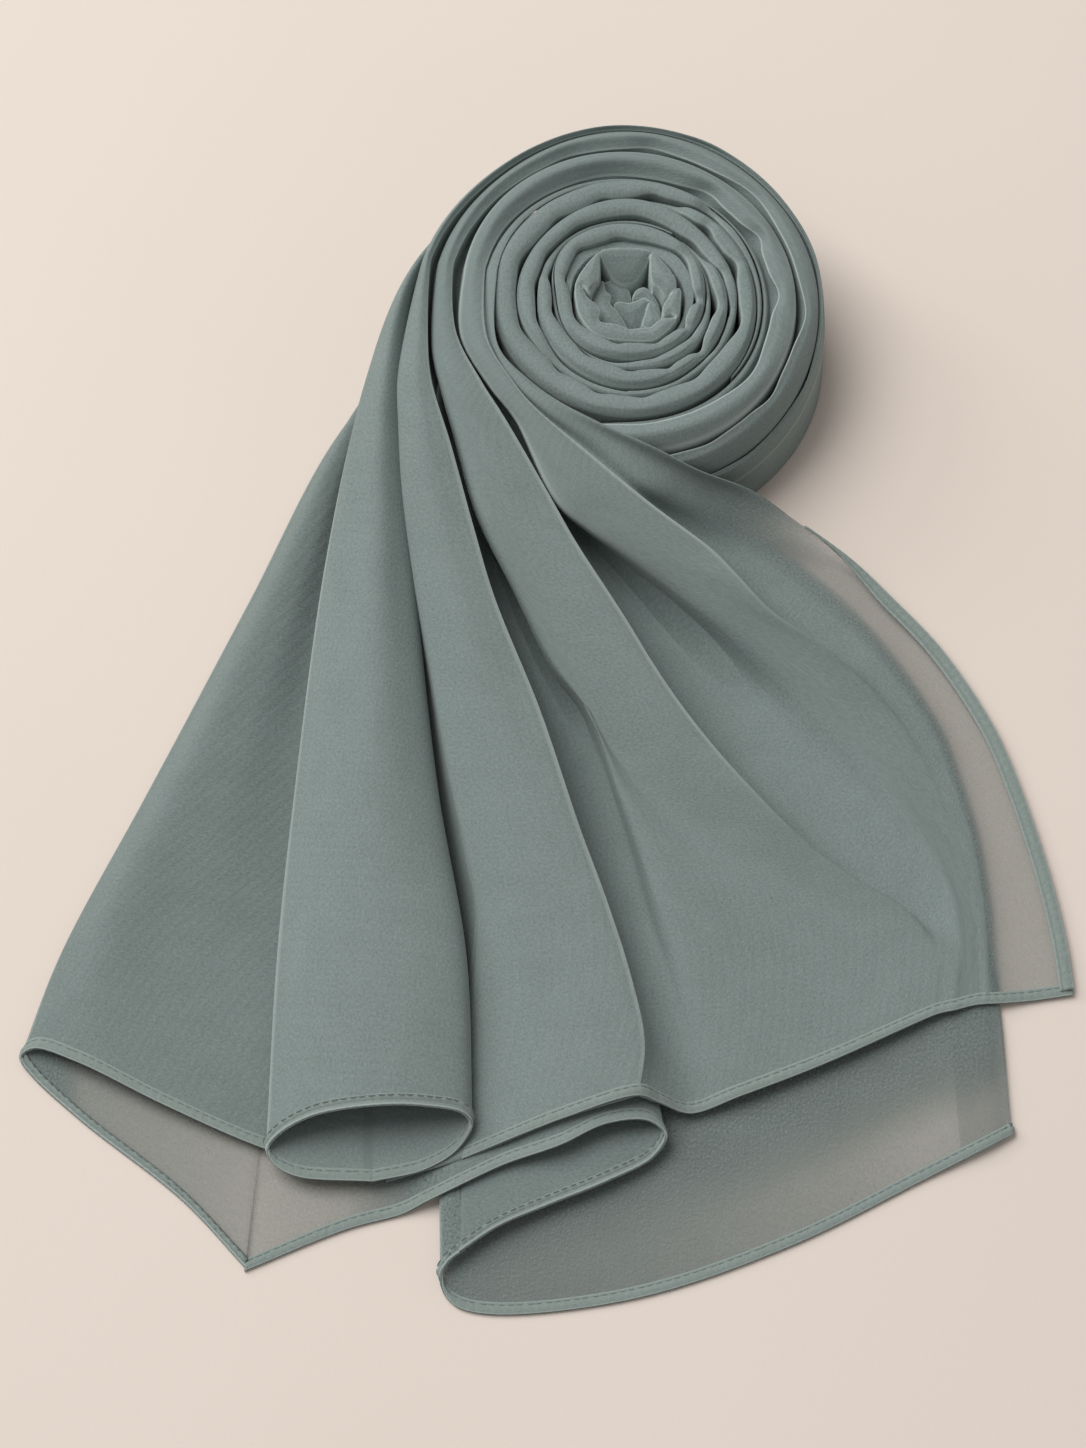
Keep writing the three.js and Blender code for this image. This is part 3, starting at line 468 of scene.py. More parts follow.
def wound_line(fold, rows, fan_rows):
    """The part round the roll, evenly by direction, then the part in the fan, evenly by length."""
    distances, heights, fan = fold
    table = np.array([np.array(ROLL_DIRECTIONS) / 10, distances, heights], float).T
    steps = through(table, np.linspace(0, len(table) - 1, 8 * len(table)))
    ring = at_direction(steps[:, 0] * 10, steps[:, 1], steps[:, 2])
    whole = np.concatenate([ring, np.array(fan, float)])
    neck = len(ring) - 1
    fine = through(whole, np.concatenate([np.linspace(0, neck, 600)[:-1], np.linspace(neck, len(whole) - 1, 900)]))
    far = np.concatenate([[0], np.cumsum(np.linalg.norm(np.diff(fine, axis=0), axis=1))])
    shares = np.concatenate([np.linspace(0, far[599], rows + 1)[:-1], np.linspace(far[599], far[-1], fan_rows + 1)])
    return np.stack([np.interp(shares, far, fine[:, k]) for k in range(3)], -1)


wound_lines = np.stack([wound_line(fold, WOUND_ROWS, FAN_ROWS) for fold in WOUND_FOLDS.values()])
fold_names = list(WOUND_FOLDS)
print("fold lines:", len(fold_names), "rows:", wound_lines.shape[1])

# %% [markdown]
# ## Fold edges
# A pressed fold has a crisp edge: the cloth comes up to it almost flat and then turns down within a millimetre. Two
# helper lines beside each ridge make that turn, one just before it and one just past it. Round the roll the inner
# edge of each lip is also pushed in and out a little, unevenly, as a bundle of soft cloth is when it is wound.

# %% Crisp ridges and uneven lips
def dents(turn, count, phase):
    """Uneven waves from 0 to 1: a sine whose own angle is pushed on by a slower sine, sharpened by squaring."""
    wave = np.sin(count * turn + phase + 1.6 * np.sin(2.3 * turn + 2 * phase))
    return (0.5 + 0.5 * wave) ** 2


directions = np.degrees(np.arctan2(wound_lines[..., 1] - ROLL_AXIS[1], wound_lines[..., 0] - ROLL_AXIS[0]))
in_roll = np.arange(wound_lines.shape[1]) < WOUND_ROWS
outward = wound_lines[..., :2] - ROLL_AXIS
outward /= np.linalg.norm(outward, axis=-1, keepdims=True)
for name, phase, deep in (("ridge_two", 1.0, 1.8), ("ridge_three", 2.6, 2.0), ("ridge_one", 4.2, 0.6)):
    column = fold_names.index(name)
    facing = np.exp(-((directions[column] - 25) / 75) ** 2) * in_roll
    push = (dents(np.radians(directions[column]), 10, phase) * deep * facing)[:, None] * outward[column]
    wound_lines[column, :, :2] += push
    wound_lines[column - 1, :, :2] += 0.35 * push
    wound_lines[column, :, 2] -= 0.5 * np.linalg.norm(push, axis=-1)

# share of the way down the fan at which each fold edge has died out
FADED_AT = {"ridge_one": 1.1, "ridge_two": 0.78, "ridge_three": 0.6, "lip_two": 0.5, "rim": 1.1}
row_share = np.clip((np.arange(wound_lines.shape[1]) - WOUND_ROWS) / FAN_ROWS, 0, 1)
ridges = [fold_names.index(n) for n in ("ridge_one", "ridge_two", "ridge_three")]
parts, names_now = [], []
for column, line in enumerate(wound_lines):
    if column in ridges:
        before, after = wound_lines[column - 1], wound_lines[column + 1]
        gap = np.linalg.norm(before - line, axis=-1, keepdims=True)
        near = line + (before - line) * np.minimum(3.2 / gap, 0.4)
        died = FADED_AT[fold_names[column]]
        crisp = (1 - soft_step(died - 0.25, died, row_share)) * ~in_roll
        near[:, 2] += (line[:, 2] + 0.4 - near[:, 2]) * crisp
        gap = np.linalg.norm(after - line, axis=-1, keepdims=True)
        past = line + (after - line) * np.minimum(0.45 / gap, 0.4)
        turned_down = line[:, 2] - np.minimum(0.5, 0.3 * (line[:, 2] - after[:, 2]).clip(0.05))
        past[:, 2] += (turned_down - past[:, 2]) * np.maximum(crisp, in_roll)
        parts += [near, line, past]
        names_now += ["near", fold_names[column], "past"]
    else:
        parts.append(line)
        names_now.append(fold_names[column])
wound_lines = np.stack(parts)
places = across_places(wound_lines, 1.3, most=9)
wound_grid = np.swapaxes(through(wound_lines, places), 0, 1)

# Low uneven waves along the pleats, none at the hem and less round the roll.
down_share = np.clip((np.arange(wound_grid.shape[0]) - WOUND_ROWS) / FAN_ROWS, 0, 1)[:, None]
x, y = wound_grid[..., 0], wound_grid[..., 1]
waves = (np.sin(x / 9 + 1.7 * np.sin(y / 31)) * np.sin(y / 13 + 2.1 * np.sin(x / 23 + 1))
         + 0.6 * np.sin(x / 4.6 - y / 17))
# Small gathers that run up from the hem where the two hems pull at the right corner.
pulled = soft_step(0.88, 1.0, down_share) * soft_step(100, 112, x)
wound_grid[..., 2] += 0.35 * pulled * np.sin(x * 1.9 + 0.8 * np.sin(x / 3)) ** 3
wound_grid[..., 2] += 0.22 * waves * np.sin(np.pi * down_share) * soft_step(2, 6, wound_grid[..., 2])
print("wound cloth grid:", wound_grid.shape[:2])

# %% The wound cloth
def near_columns(names, wanted, reach):
    """1 at the places of the wanted columns, falling to 0 at the reach, counted in columns."""
    spots = [i for i, n in enumerate(names) if n in wanted]
    return np.max([np.clip(1 - np.abs(places - s) / reach, 0, 1) for s in spots], axis=0)


# Painted highlight along the fold edges and the roll's rim, fading where each fold edge dies out.
painted_fold_highlight = np.max([(0.4 if name == "rim" else 0.8)
                     * near_columns(names_now, (name,), 0.12 if name == "rim" else 0.3)[None, :]
                     * (1 - soft_step(end - 0.25, end, down_share)) for name, end in FADED_AT.items()], axis=0)
single = soft_step(names_now.index("strip_one") - 0.05, names_now.index("strip_one") + 0.05, places)[None, :]
single = single * soft_step(0.34, 0.5, down_share)
dense_value = 1 - 0.76 * single
wound_cloth = lay_cloth("wound_and_fanned_cloth", wound_grid, chiffon, dense_value, painted_fold_highlight)
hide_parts("roll_outer_turns", "fan_centre_panel")

# %% [markdown]
# ## Pleats under the fan
# Under the ridges the cloth is folded back on itself many times. Those layers are not seen, except as a denser area
# through the single layer at the right, where they end. They share one rounded form that follows the fan's own
# ridges and valleys a little lower, flat where it rests on the table, with its sides drawn in and out as layers.

# %% Covered pleats
COVERED_FOLDS = {
    "left": [[-24, 96, 4], [-30, 70, 4], [-29, 34, 3.4], [-22, -16, 3], [-16, -44, 3]],
    "ridge_one": [[-24, 97, 24], [-27, 72, 24], [-15, 24, 18.6], [-2, -16, 13], [6, -42, 10.6]],
    "valley_one": [[-22, 97, 20], [-21, 72, 9], [-8, 26, 2.2], [10, -16, 1.6], [20, -42, 1.6]],
    "slope_one": [[-21, 96, 24], [-15, 68, 24], [2, 26, 17], [22, -14, 6.6], [34, -36, 4]],
    "ridge_two": [[-20, 96, 24], [-15, 70, 25], [6, 34, 19.4], [36, -14, 9.6], [52, -32, 5.6]],
    "valley_two": [[-18, 95, 20], [-9, 68, 15], [17, 39, 3], [47, -2, 1.6], [68, -24, 1.2]],
    "slope_two": [[-17, 94, 24], [-5, 66, 25], [26, 38, 17], [56, 8, 6.6], [76, -18, 1.6]],
    "ridge_three": [[-16, 94, 24], [-2, 66, 24], [31, 42, 18], [64, 12, 6.6], [80, -12, 2]],
    "right": [[-14, 93, 3], [6, 62, 3], [46, 46, 3], [78, 20, 1.6], [94, -10, 1]],
}
covered_lines = np.stack([along(points, np.linspace(0, 1, 90)) for points in COVERED_FOLDS.values()])
covered_top = np.swapaxes(through(covered_lines, across_places(covered_lines, 2.0)), 0, 1)
outside_roll = np.linalg.norm(covered_top[..., :2] - ROLL_AXIS, axis=-1)
covered_top[..., 2] = np.where(outside_roll < 49, np.minimum(covered_top[..., 2], 12), covered_top[..., 2])
# The covered layers thin out toward their lower end.
covered_top[..., 2] *= 1 - 0.8 * soft_step(0.5, 0.95, np.linspace(0, 1, len(covered_top)))[:, None]
covered_top[..., 2] = np.maximum(covered_top[..., 2], 0.5)
covered_floor = covered_top * [1, 1, 0] + [0, 0, 0.05]
# Six levels from the top edge down, each second one drawn in by about a third of a millimetre.
SIDE_DRAW = 0.35
levels = np.linspace(0, 1, 8)[1:-1]
first_side, last_side = (
    [covered_top[:, column] * (1 - v) + covered_floor[:, column] * v + [way * SIDE_DRAW * (k % 2), 0, 0]
     for k, v in enumerate(levels)]
    for column, way in ((slice(0, 1), 1), (slice(-1, None), -1)))
covered_top = np.concatenate([*first_side[::-1], covered_top, *last_side], axis=1)
covered_floor = covered_top * [1, 1, 0] + [0, 0, 0.05]
covered_count = covered_top.shape[0] * covered_top.shape[1]
covered = cloth_object(
    "covered_pleats",
    np.concatenate([covered_top.reshape(-1, 3), covered_floor.reshape(-1, 3)]),
    shell_faces(*covered_top.shape[:2]),
    chiffon,
    {"dense": np.ones(2 * covered_count), "edge": np.zeros(2 * covered_count)},
    np.concatenate([covered_top.reshape(-1, 3)[:, :2]] * 2),
)
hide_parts("hidden_pleats")

# %% [markdown]
# ## The inner turns
# Seen from above, the inner turns are lips of folded cloth that lie one round the other. They are not all the same:
# a wide lip narrows as it goes round, slips under the next and shows as a thin line. Each is given by its inner and
# outer distance from the axis at a few directions, and a rounded, slightly domed section is carried round it.

# %% Lips of the inner turns
# direction in degrees, inner and outer distance from the axis in mm
LIPS = {
    "first": [[-90, 12.8, 17.5], [-47, 14.4, 18.3], [0, 16.2, 19.8], [46, 18.1, 22.0], [90, 18.0, 23.2],
              [133, 18.5, 22.8], [180, 14.4, 18.0], [226, 13.3, 17.9]],
    "beside_first": [[-90, 17.7, 20.0], [-47, 18.5, 21.8], [0, 20.0, 21.3], [46, 22.2, 22.5], [90, 23.35, 23.5],
                     [133, 22.95, 23.1], [180, 18.15, 18.95], [226, 18.05, 18.3]],
    "second": [[52, 22.7, 22.9], [40, 22.3, 23.2], [20, 21.7, 24.8], [0, 21.5, 25.5], [-47, 22.0, 25.2],
               [-90, 20.2, 25.5], [-134, 18.5, 24.0], [-180, 19.1, 23.1], [-227, 23.3, 24.6], [-270, 23.7, 24.6],
               [-300, 23.4, 23.9]],
    "beside_second": [[-90, 25.7, 27.7], [-47, 25.4, 27.2], [0, 25.7, 28.0], [40, 23.5, 28.1], [90, 24.8, 30.4],
                      [133, 24.8, 29.1], [180, 23.5, 28.3], [226, 24.2, 26.4]],
    "third": [[84, 30.5, 30.6], [70, 29.8, 31.4], [46, 28.4, 32.5], [0, 28.2, 32.8], [-47, 27.4, 33.6],
              [-90, 27.9, 33.8], [-134, 26.2, 33.2], [-180, 28.4, 34.8], [-227, 29.3, 35.7], [-270, 30.7, 36.3],
              [-314, 32.7, 35.3], [-360, 33.0, 34.3], [-400, 33.7, 34.2]],
}
# how wide the dents of each lip's inner edge are in mm, how many go round, and where they start
LIP_DENTS = {"first": (1.3, 9, 0.4), "beside_first": (0.3, 12, 2.0), "second": (1.3, 11, 1.3),
             "beside_second": (0.6, 12, 3.1), "third": (1.4, 12, 5.2)}


LIP_WALL_DEPTHS = (8.0, 31.0)   # millimetres from the lip's top down to two rows of its side walls


def lip_section(width, top, wide):
    """Across the lip from 0 to its width: round edges, a low dome, and a groove one ply in from the outer edge."""
    rounding = np.minimum(0.6, 0.42 * width)
    edge = np.array([0, 0.06, 0.25, 0.6, 1.0])
    inner = rounding[:, None] * edge
    outer = width[:, None] - rounding[:, None] * edge[::-1]
    middle = width[:, None] * 0 + inner[:, -1:] + (outer[:, :1] - inner[:, -1:]) * np.linspace(0, 1, 10)[1:-1]
    place = np.concatenate([inner, middle, outer], axis=1)
    nearest = np.minimum(place, width[:, None] - place)
    drop = 1.3 * rounding[:, None] * (1 - np.sqrt(1 - (1 - np.clip(nearest / rounding[:, None], 0, 1)) ** 2))
    dome = 0.34 * width[:, None] * (1 - np.sqrt(1 - 0.92 * (2 * place / width[:, None] - 1) ** 2))
    from_rim = width[:, None] - place
    groove = 0.5 * wide[:, None] * (1 - soft_step(0.8, 1.0, from_rim))
    height = top[:, None] - drop - dome - groove
    for deep in LIP_WALL_DEPTHS:
        place = np.concatenate([width[:, None] * 0, place, width[:, None]], axis=1)
        height = np.concatenate([top[:, None] - deep, height, top[:, None] - deep], axis=1)
    return place, height


def wind_lip(name, closed, steps_per_turn=360):
    """The section carried round the axis. A closed lip joins up, an open one is filled at both ends."""
    table = np.array(LIPS[name], float)
    if closed:
        wrapped = np.concatenate([table - [360, 0, 0], table, table + [360, 0, 0]])
        count = steps_per_turn
        spots = np.linspace(table[0, 0], table[0, 0] + 360, count, endpoint=False)
    else:
        wrapped = table
        count = int(abs(table[-1, 0] - table[0, 0]) / 360 * steps_per_turn)
        spots = np.linspace(table[0, 0], table[-1, 0], count)
    fine = through(wrapped / [12, 1, 1], np.linspace(0, len(wrapped) - 1, 30 * len(wrapped))) * [12, 1, 1]
    order = np.argsort(fine[:, 0])
    inner, outer = (np.interp(spots, fine[order, 0], fine[order, k]) for k in (1, 2))
    deep, number, phase = LIP_DENTS[name]
    turned = np.radians(spots)
    facing = 0.55 + 0.45 * np.exp(-(((spots - 5 + 180) % 360 - 180) / 62) ** 2)
    inner = inner + deep * dents(turned, number, phase) * facing * soft_step(1.2, 3.0, outer - inner)
    width = np.maximum(outer - inner - 0.12, 0.12)
    top = 33.0 - 2.6 * (1 - soft_step(1.2, 3.4, width)) + 0.35 * np.sin(3 * turned + phase) * soft_step(2, 4, width)
    place, height = lip_section(width, top, soft_step(2.4, 3.4, width))
    points = at_direction(spots[:, None], inner[:, None] + place, height)
    if not closed and table[-1, 0] < table[0, 0]:
        points = points[::-1]
        place = place[::-1]
    return points, place


def tube_faces(rows, size, closed):
    """Quads round a closed section carried along rows, and a fan over each open end."""
    index = np.arange(rows * size).reshape(rows, size)
    if closed:
        index = np.vstack([index, index[:1]])
    ring = np.hstack([index, index[:, :1]])
    faces = np.stack([ring[:-1, :-1], ring[:-1, 1:], ring[1:, 1:], ring[1:, :-1]], -1).reshape(-1, 4).tolist()
    if not closed:
        faces += [index[0, ::-1].tolist(), index[-1].tolist()]
    return faces


def joined(name, parts, material, painted_lip_highlight=0.0):
    """Several closed forms as one piece."""
    points, faces, threads, edge, start = [], [], [], [], 0
    for grid, place, closed in parts:
        rows, size = grid.shape[:2]
        points.append(grid.reshape(-1, 3))
        faces += [[v + start for v in face] for face in tube_faces(rows, size, closed)]
        travel = np.cumsum(np.linalg.norm(np.diff(grid[:, 0], axis=0, prepend=grid[:1, 0]), axis=-1))
        threads.append(np.stack([place + (grid[..., 2].max() - grid[..., 2]) * 0.5,
                                 np.broadcast_to(travel[:, None], place.shape)], -1).reshape(-1, 2))
        size_half = size // 2
        across = np.abs(np.arange(size) - size_half) / size_half
        # A painted highlight as a thin line along each lip.
        edge.append(np.broadcast_to(np.exp(-((across - 0.62) / 0.1) ** 2) * painted_lip_highlight, (rows, size)).ravel())
        start += rows * size
    points, threads, edge = np.concatenate(points), np.concatenate(threads), np.concatenate(edge)
    mesh = bpy.data.meshes.new(name)
    mesh.from_pydata(((points + DRAWING_SHIFT) * MM).tolist(), [], faces)
    mesh.shade_smooth()
    for key, value in (("dense", np.ones(len(points))), ("edge", edge)):
        layer = mesh.attributes.new(key, "FLOAT", "POINT")
        layer.data.foreach_set("value", value.astype(np.float32))
    corner = np.empty(len(mesh.loops), int)
    mesh.loops.foreach_get("vertex_index", corner)
    layer = mesh.uv_layers.new(name="threads")
    layer.data.foreach_set("uv", (threads[corner] * MM).astype(np.float32).ravel())
    mesh.materials.append(material)
    piece = bpy.data.objects.new(name, mesh)
    bpy.context.collection.objects.link(piece)
    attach(piece, "root")
    print(f"{name}: {len(points)} points, about {2 * len(faces)} triangles")
    return piece


lip_parts = []
for lip in LIPS:
    closed = lip not in ("second", "third")
    lip_points, lip_places = wind_lip(lip, closed)
    lip_parts.append((lip_points, lip_places, closed))
inner_turns = joined("inner_turns", lip_parts, chiffon, 0.6)
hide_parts("roll_inner_turns")

# %% [markdown]
# ## The rosette
# The first wraps of the strip are crushed into a six-sided cup with curled leaves in it. It is a relief that the
# camera sees from above, so it is one surface: each leaf is an outline with a height and a slope, and at each point
# the highest leaf shows. An outline's edge falls away within a third of a millimetre, which draws the dark gaps.

# %% Rosette
# outline in mm from the roll's axis, height at the outline's top, slope along x and y
LEAVES = {
    "back_petal": ([[-6.9, 14.0], [5.9, 14.0], [5.1, 11.1], [2.6, 7.9], [-0.2, 7.0], [-3.3, 7.9]],
                   33.0, (0, 0.8), 14.0),
    "left_petal": ([[-7.1, 13.8], [-12.4, 7.0], [-13.4, 3.2], [-11.6, 3.5], [-9.4, 1.4], [-8.6, 3.2], [-7.1, 6.4],
                    [-6.8, 10.9]], 33.0, (-0.5, 0.45), 14.0),
    "right_petal": ([[6.2, 13.8], [9.2, 10.9], [12.2, 6.1], [12.4, 3.2], [9.7, 0.8], [8.1, 3.2], [6.1, 5.5]],
                    33.0, (0.45, 0.45), 14.0),
    "right_lip": ([[12.2, 3.2], [10.4, 0.8], [8.9, -1.8], [8.6, -4.2], [9.2, -5.1], [10.9, -4.5], [12.7, -5.4],
                   [13.6, -1.0], [13.5, 3.2]], 32.6, (0.05, 0.0), 8.0),
    "cup_lip": ([[-13.4, 3.4], [-11.6, 3.5], [-10.1, 0.8], [-8.3, -1.0], [-6.8, -3.5], [-7.3, -5.7], [-6.3, -6.4],
                 [-3.3, -6.8], [0.5, -8.3], [3.1, -8.0], [5.6, -7.8], [7.6, -6.0], [9.9, -5.1], [12.6, -5.4],
                 [9.6, -9.6], [6.4, -11.9], [0.0, -12.0], [-5.0, -11.4], [-8.8, -9.7], [-12.4, -4.6], [-13.4, 0]],
                32.8, (0.0, 0.05), 8.0),
    "left_leaf": ([[-8.8, 0.8], [-8.6, 3.2], [-7.3, 5.8], [-6.1, 6.8], [-5.4, 3.9], [-4.0, 2.2], [-4.3, 0.2],
                   [-2.0, -2.7], [0.3, -7.9], [-3.3, -6.7], [-6.3, -6.2], [-7.1, -3.9]], 31.0, (-0.12, 0.1), 5.0),
    "inner_leaf": ([[-6.1, 6.8], [-3.3, 7.3], [-0.5, 6.1], [1.0, 4.1], [0.8, 0.8], [-3.5, -0.4], [-4.0, 2.2],
                    [-5.4, 3.9]], 30.4, (0.0, 0.35), 7.2),
    "bud": ([[-3.5, -0.1], [-2.0, 0.7], [0.5, 0.4], [2.6, 1.0], [4.3, 1.4], [5.6, 0.5], [4.4, -2.7], [3.3, -6.0],
             [0.3, -7.9]], 31.6, (0.0, 0.55), 1.2),
    "right_curl": ([[1.3, 1.4], [1.8, 3.5], [3.1, 4.7], [4.6, 5.0], [6.4, 3.5], [7.9, 1.1], [8.6, -1.5], [8.4, -5.0],
                    [6.9, -1.5], [5.6, 0.8], [4.1, 1.6]], 31.2, (-0.1, 0.15), 4.0),
    "right_leaf": ([[5.6, 0.5], [6.9, -1.5], [8.3, -3.8], [8.4, -5.7], [5.6, -7.4], [4.3, -6.5], [3.6, -5.7],
                    [4.4, -2.7]], 31.0, (0.05, 0.2), 0.5),
}
# how far below the cup's rim each inner leaf lies in mm
SUNK_LEAVES = {"left_leaf": 2.0, "inner_leaf": 3.6, "bud": 3.4, "right_curl": 2.6, "right_leaf": 2.4}


def smooth_outline(corners, count=72):
    """A closed smooth curve through the corners."""
    ring = np.array([[x, y, 0.0] for x, y in corners])
    wrapped = np.concatenate([ring[-3:], ring, ring[:3]])
    return through(wrapped, 3 + np.linspace(0, len(ring), count, endpoint=False))[:, :2]


def inside_distance(points, outline):
    """Distance to the nearest side of the outline, positive inside it."""
    start, end = outline, np.roll(outline, -1, axis=0)
    side = end - start
    offset = points[:, None] - start
    share = np.clip((offset * side).sum(-1) / (side ** 2).sum(-1), 0, 1)
    distance = np.linalg.norm(offset - share[..., None] * side, axis=-1).min(axis=1)
    above = (start[:, 1] > points[:, None, 1]) != (end[:, 1] > points[:, None, 1])
    cross = start[:, 0] + (points[:, None, 1] - start[:, 1]) * side[:, 0] / np.where(side[:, 1] == 0, 1e-9, side[:, 1])
    inside = (above & (points[:, None, 0] < cross)).sum(axis=1) % 2 == 1
    return np.where(inside, distance, -distance)


first_lip = np.array(LIPS["first"])
wrapped = np.concatenate([first_lip - [360, 0, 0], first_lip, first_lip + [360, 0, 0]])
CORE_STEPS, CORE_RINGS = 300, 96
core_turn = np.linspace(0, 360, CORE_STEPS, endpoint=False)
core_reach = np.interp(core_turn, wrapped[:, 0], wrapped[:, 1]) + 0.5
rings = np.linspace(0.004, 1, CORE_RINGS)
flat = np.stack([rings[:, None] * core_reach * np.cos(np.radians(core_turn)),
                 rings[:, None] * core_reach * np.sin(np.radians(core_turn))], -1)
spots = flat.reshape(-1, 2)
relief = np.full(len(spots), 22.0)
painted_leaf_highlight = np.zeros(len(spots))
for leaf_name, (outline, top, slope, start) in LEAVES.items():
    sunk = SUNK_LEAVES.get(leaf_name, 0)
    outline, top, start = smooth_outline(outline) + [0, 0.445 * sunk], top - sunk, start + 0.445 * sunk
    depth = inside_distance(spots, outline)
    reach = top + slope[0] * spots[:, 0] + slope[1] * (spots[:, 1] - start)
    bulge = 1.1 * np.sqrt(np.clip(depth / 2.4, 0, 1))
    leaf = np.minimum(reach, top) + bulge - 0.9 - 9 * (1 - soft_step(-0.25, 0.12, depth))
    leaf = np.where(depth > -0.3, leaf, 0)
    # Painted highlight along the outline edge of whichever leaf shows on top.
    painted_leaf_highlight = np.where(leaf > relief, np.exp(-((depth - 0.12) / 0.24) ** 2), painted_leaf_highlight)
    relief = np.maximum(relief, leaf)
band = np.hypot(*spots.T) / np.repeat(core_reach[None], CORE_RINGS, 0).ravel()
outer_ply = 30.2 + 0.6 * np.sin(3 * np.arctan2(spots[:, 1], spots[:, 0]))
outside_cup = inside_distance(spots, smooth_outline([[-6.9, 14.1], [5.9, 14.2], [9.4, 11.0], [12.6, 6.1], [13.8, 2.0],
    [13.2, -4.0], [9.8, -9.8], [6.4, -12.1], [0, -12.2], [-5, -11.6], [-9, -9.9], [-12.7, -4.6], [-13.6, 1],
    [-12.7, 7.2]]))
OUTER_PLY_START = 24
beyond = soft_step(-0.3, -0.8, outside_cup)
outer_leaf = np.where(outside_cup < -0.35, outer_ply * beyond + OUTER_PLY_START * (1 - beyond), 0)
relief = np.maximum(relief, outer_leaf)
core_top = np.concatenate([spots + ROLL_AXIS, relief[:, None]], axis=1).reshape(CORE_RINGS, CORE_STEPS, 3)
rows = np.concatenate([core_top, core_top[-1:] * [1, 1, 0] + [0, 0, 6.0]])
index = np.arange((CORE_RINGS + 1) * CORE_STEPS).reshape(CORE_RINGS + 1, CORE_STEPS)
ring = np.hstack([index, index[:, :1]])
core_faces = np.stack([ring[:-1, :-1], ring[1:, :-1], ring[1:, 1:], ring[:-1, 1:]], -1).reshape(-1, 4).tolist()
core_points = np.concatenate([rows.reshape(-1, 3), [[*ROLL_AXIS, float(core_top[0, :, 2].mean())], [*ROLL_AXIS, 6.0]]])
middle, under = len(core_points) - 2, len(core_points) - 1
core_faces += [[middle, a, b] for a, b in zip(ring[0, :-1], ring[0, 1:])]
core_faces += [[under, b, a] for a, b in zip(ring[-1, :-1], ring[-1, 1:])]
core_mesh = bpy.data.meshes.new("rosette")
core_mesh.from_pydata(((core_points + DRAWING_SHIFT) * MM).tolist(), [], core_faces)
core_mesh.shade_smooth()
# The painted highlight goes into the edge value. The base ring gets none.
painted_rosette_highlight = np.concatenate([0.8 * painted_leaf_highlight, np.zeros(CORE_STEPS + 2)])
for key, value in (("dense", np.ones(len(core_points))), ("edge", painted_rosette_highlight)):
    core_mesh.attributes.new(key, "FLOAT", "POINT").data.foreach_set("value", value.astype(np.float32))
corner = np.empty(len(core_mesh.loops), int)
core_mesh.loops.foreach_get("vertex_index", corner)
flat_map = core_points[:, :2] + core_points[:, 2:] * 0.5
core_mesh.uv_layers.new(name="threads").data.foreach_set("uv", (flat_map[corner] * MM).astype(np.float32).ravel())
core_mesh.materials.append(chiffon)
rosette = bpy.data.objects.new("rosette", core_mesh)
bpy.context.collection.objects.link(rosette)
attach(rosette, "root")
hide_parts("roll_core")
print("rosette:", len(core_points), "points")

# %% [markdown]
# ## The other pleats
# The outermost pleat is an open tube that stands up beside the centre of the fan. Left of it one layer of cloth lies
# nearly flat with a fold along its left edge. Under the fan's lower edge the cloth is folded back on itself twice
# and shows as two more layers. They are made from their own fold lines in the same way.

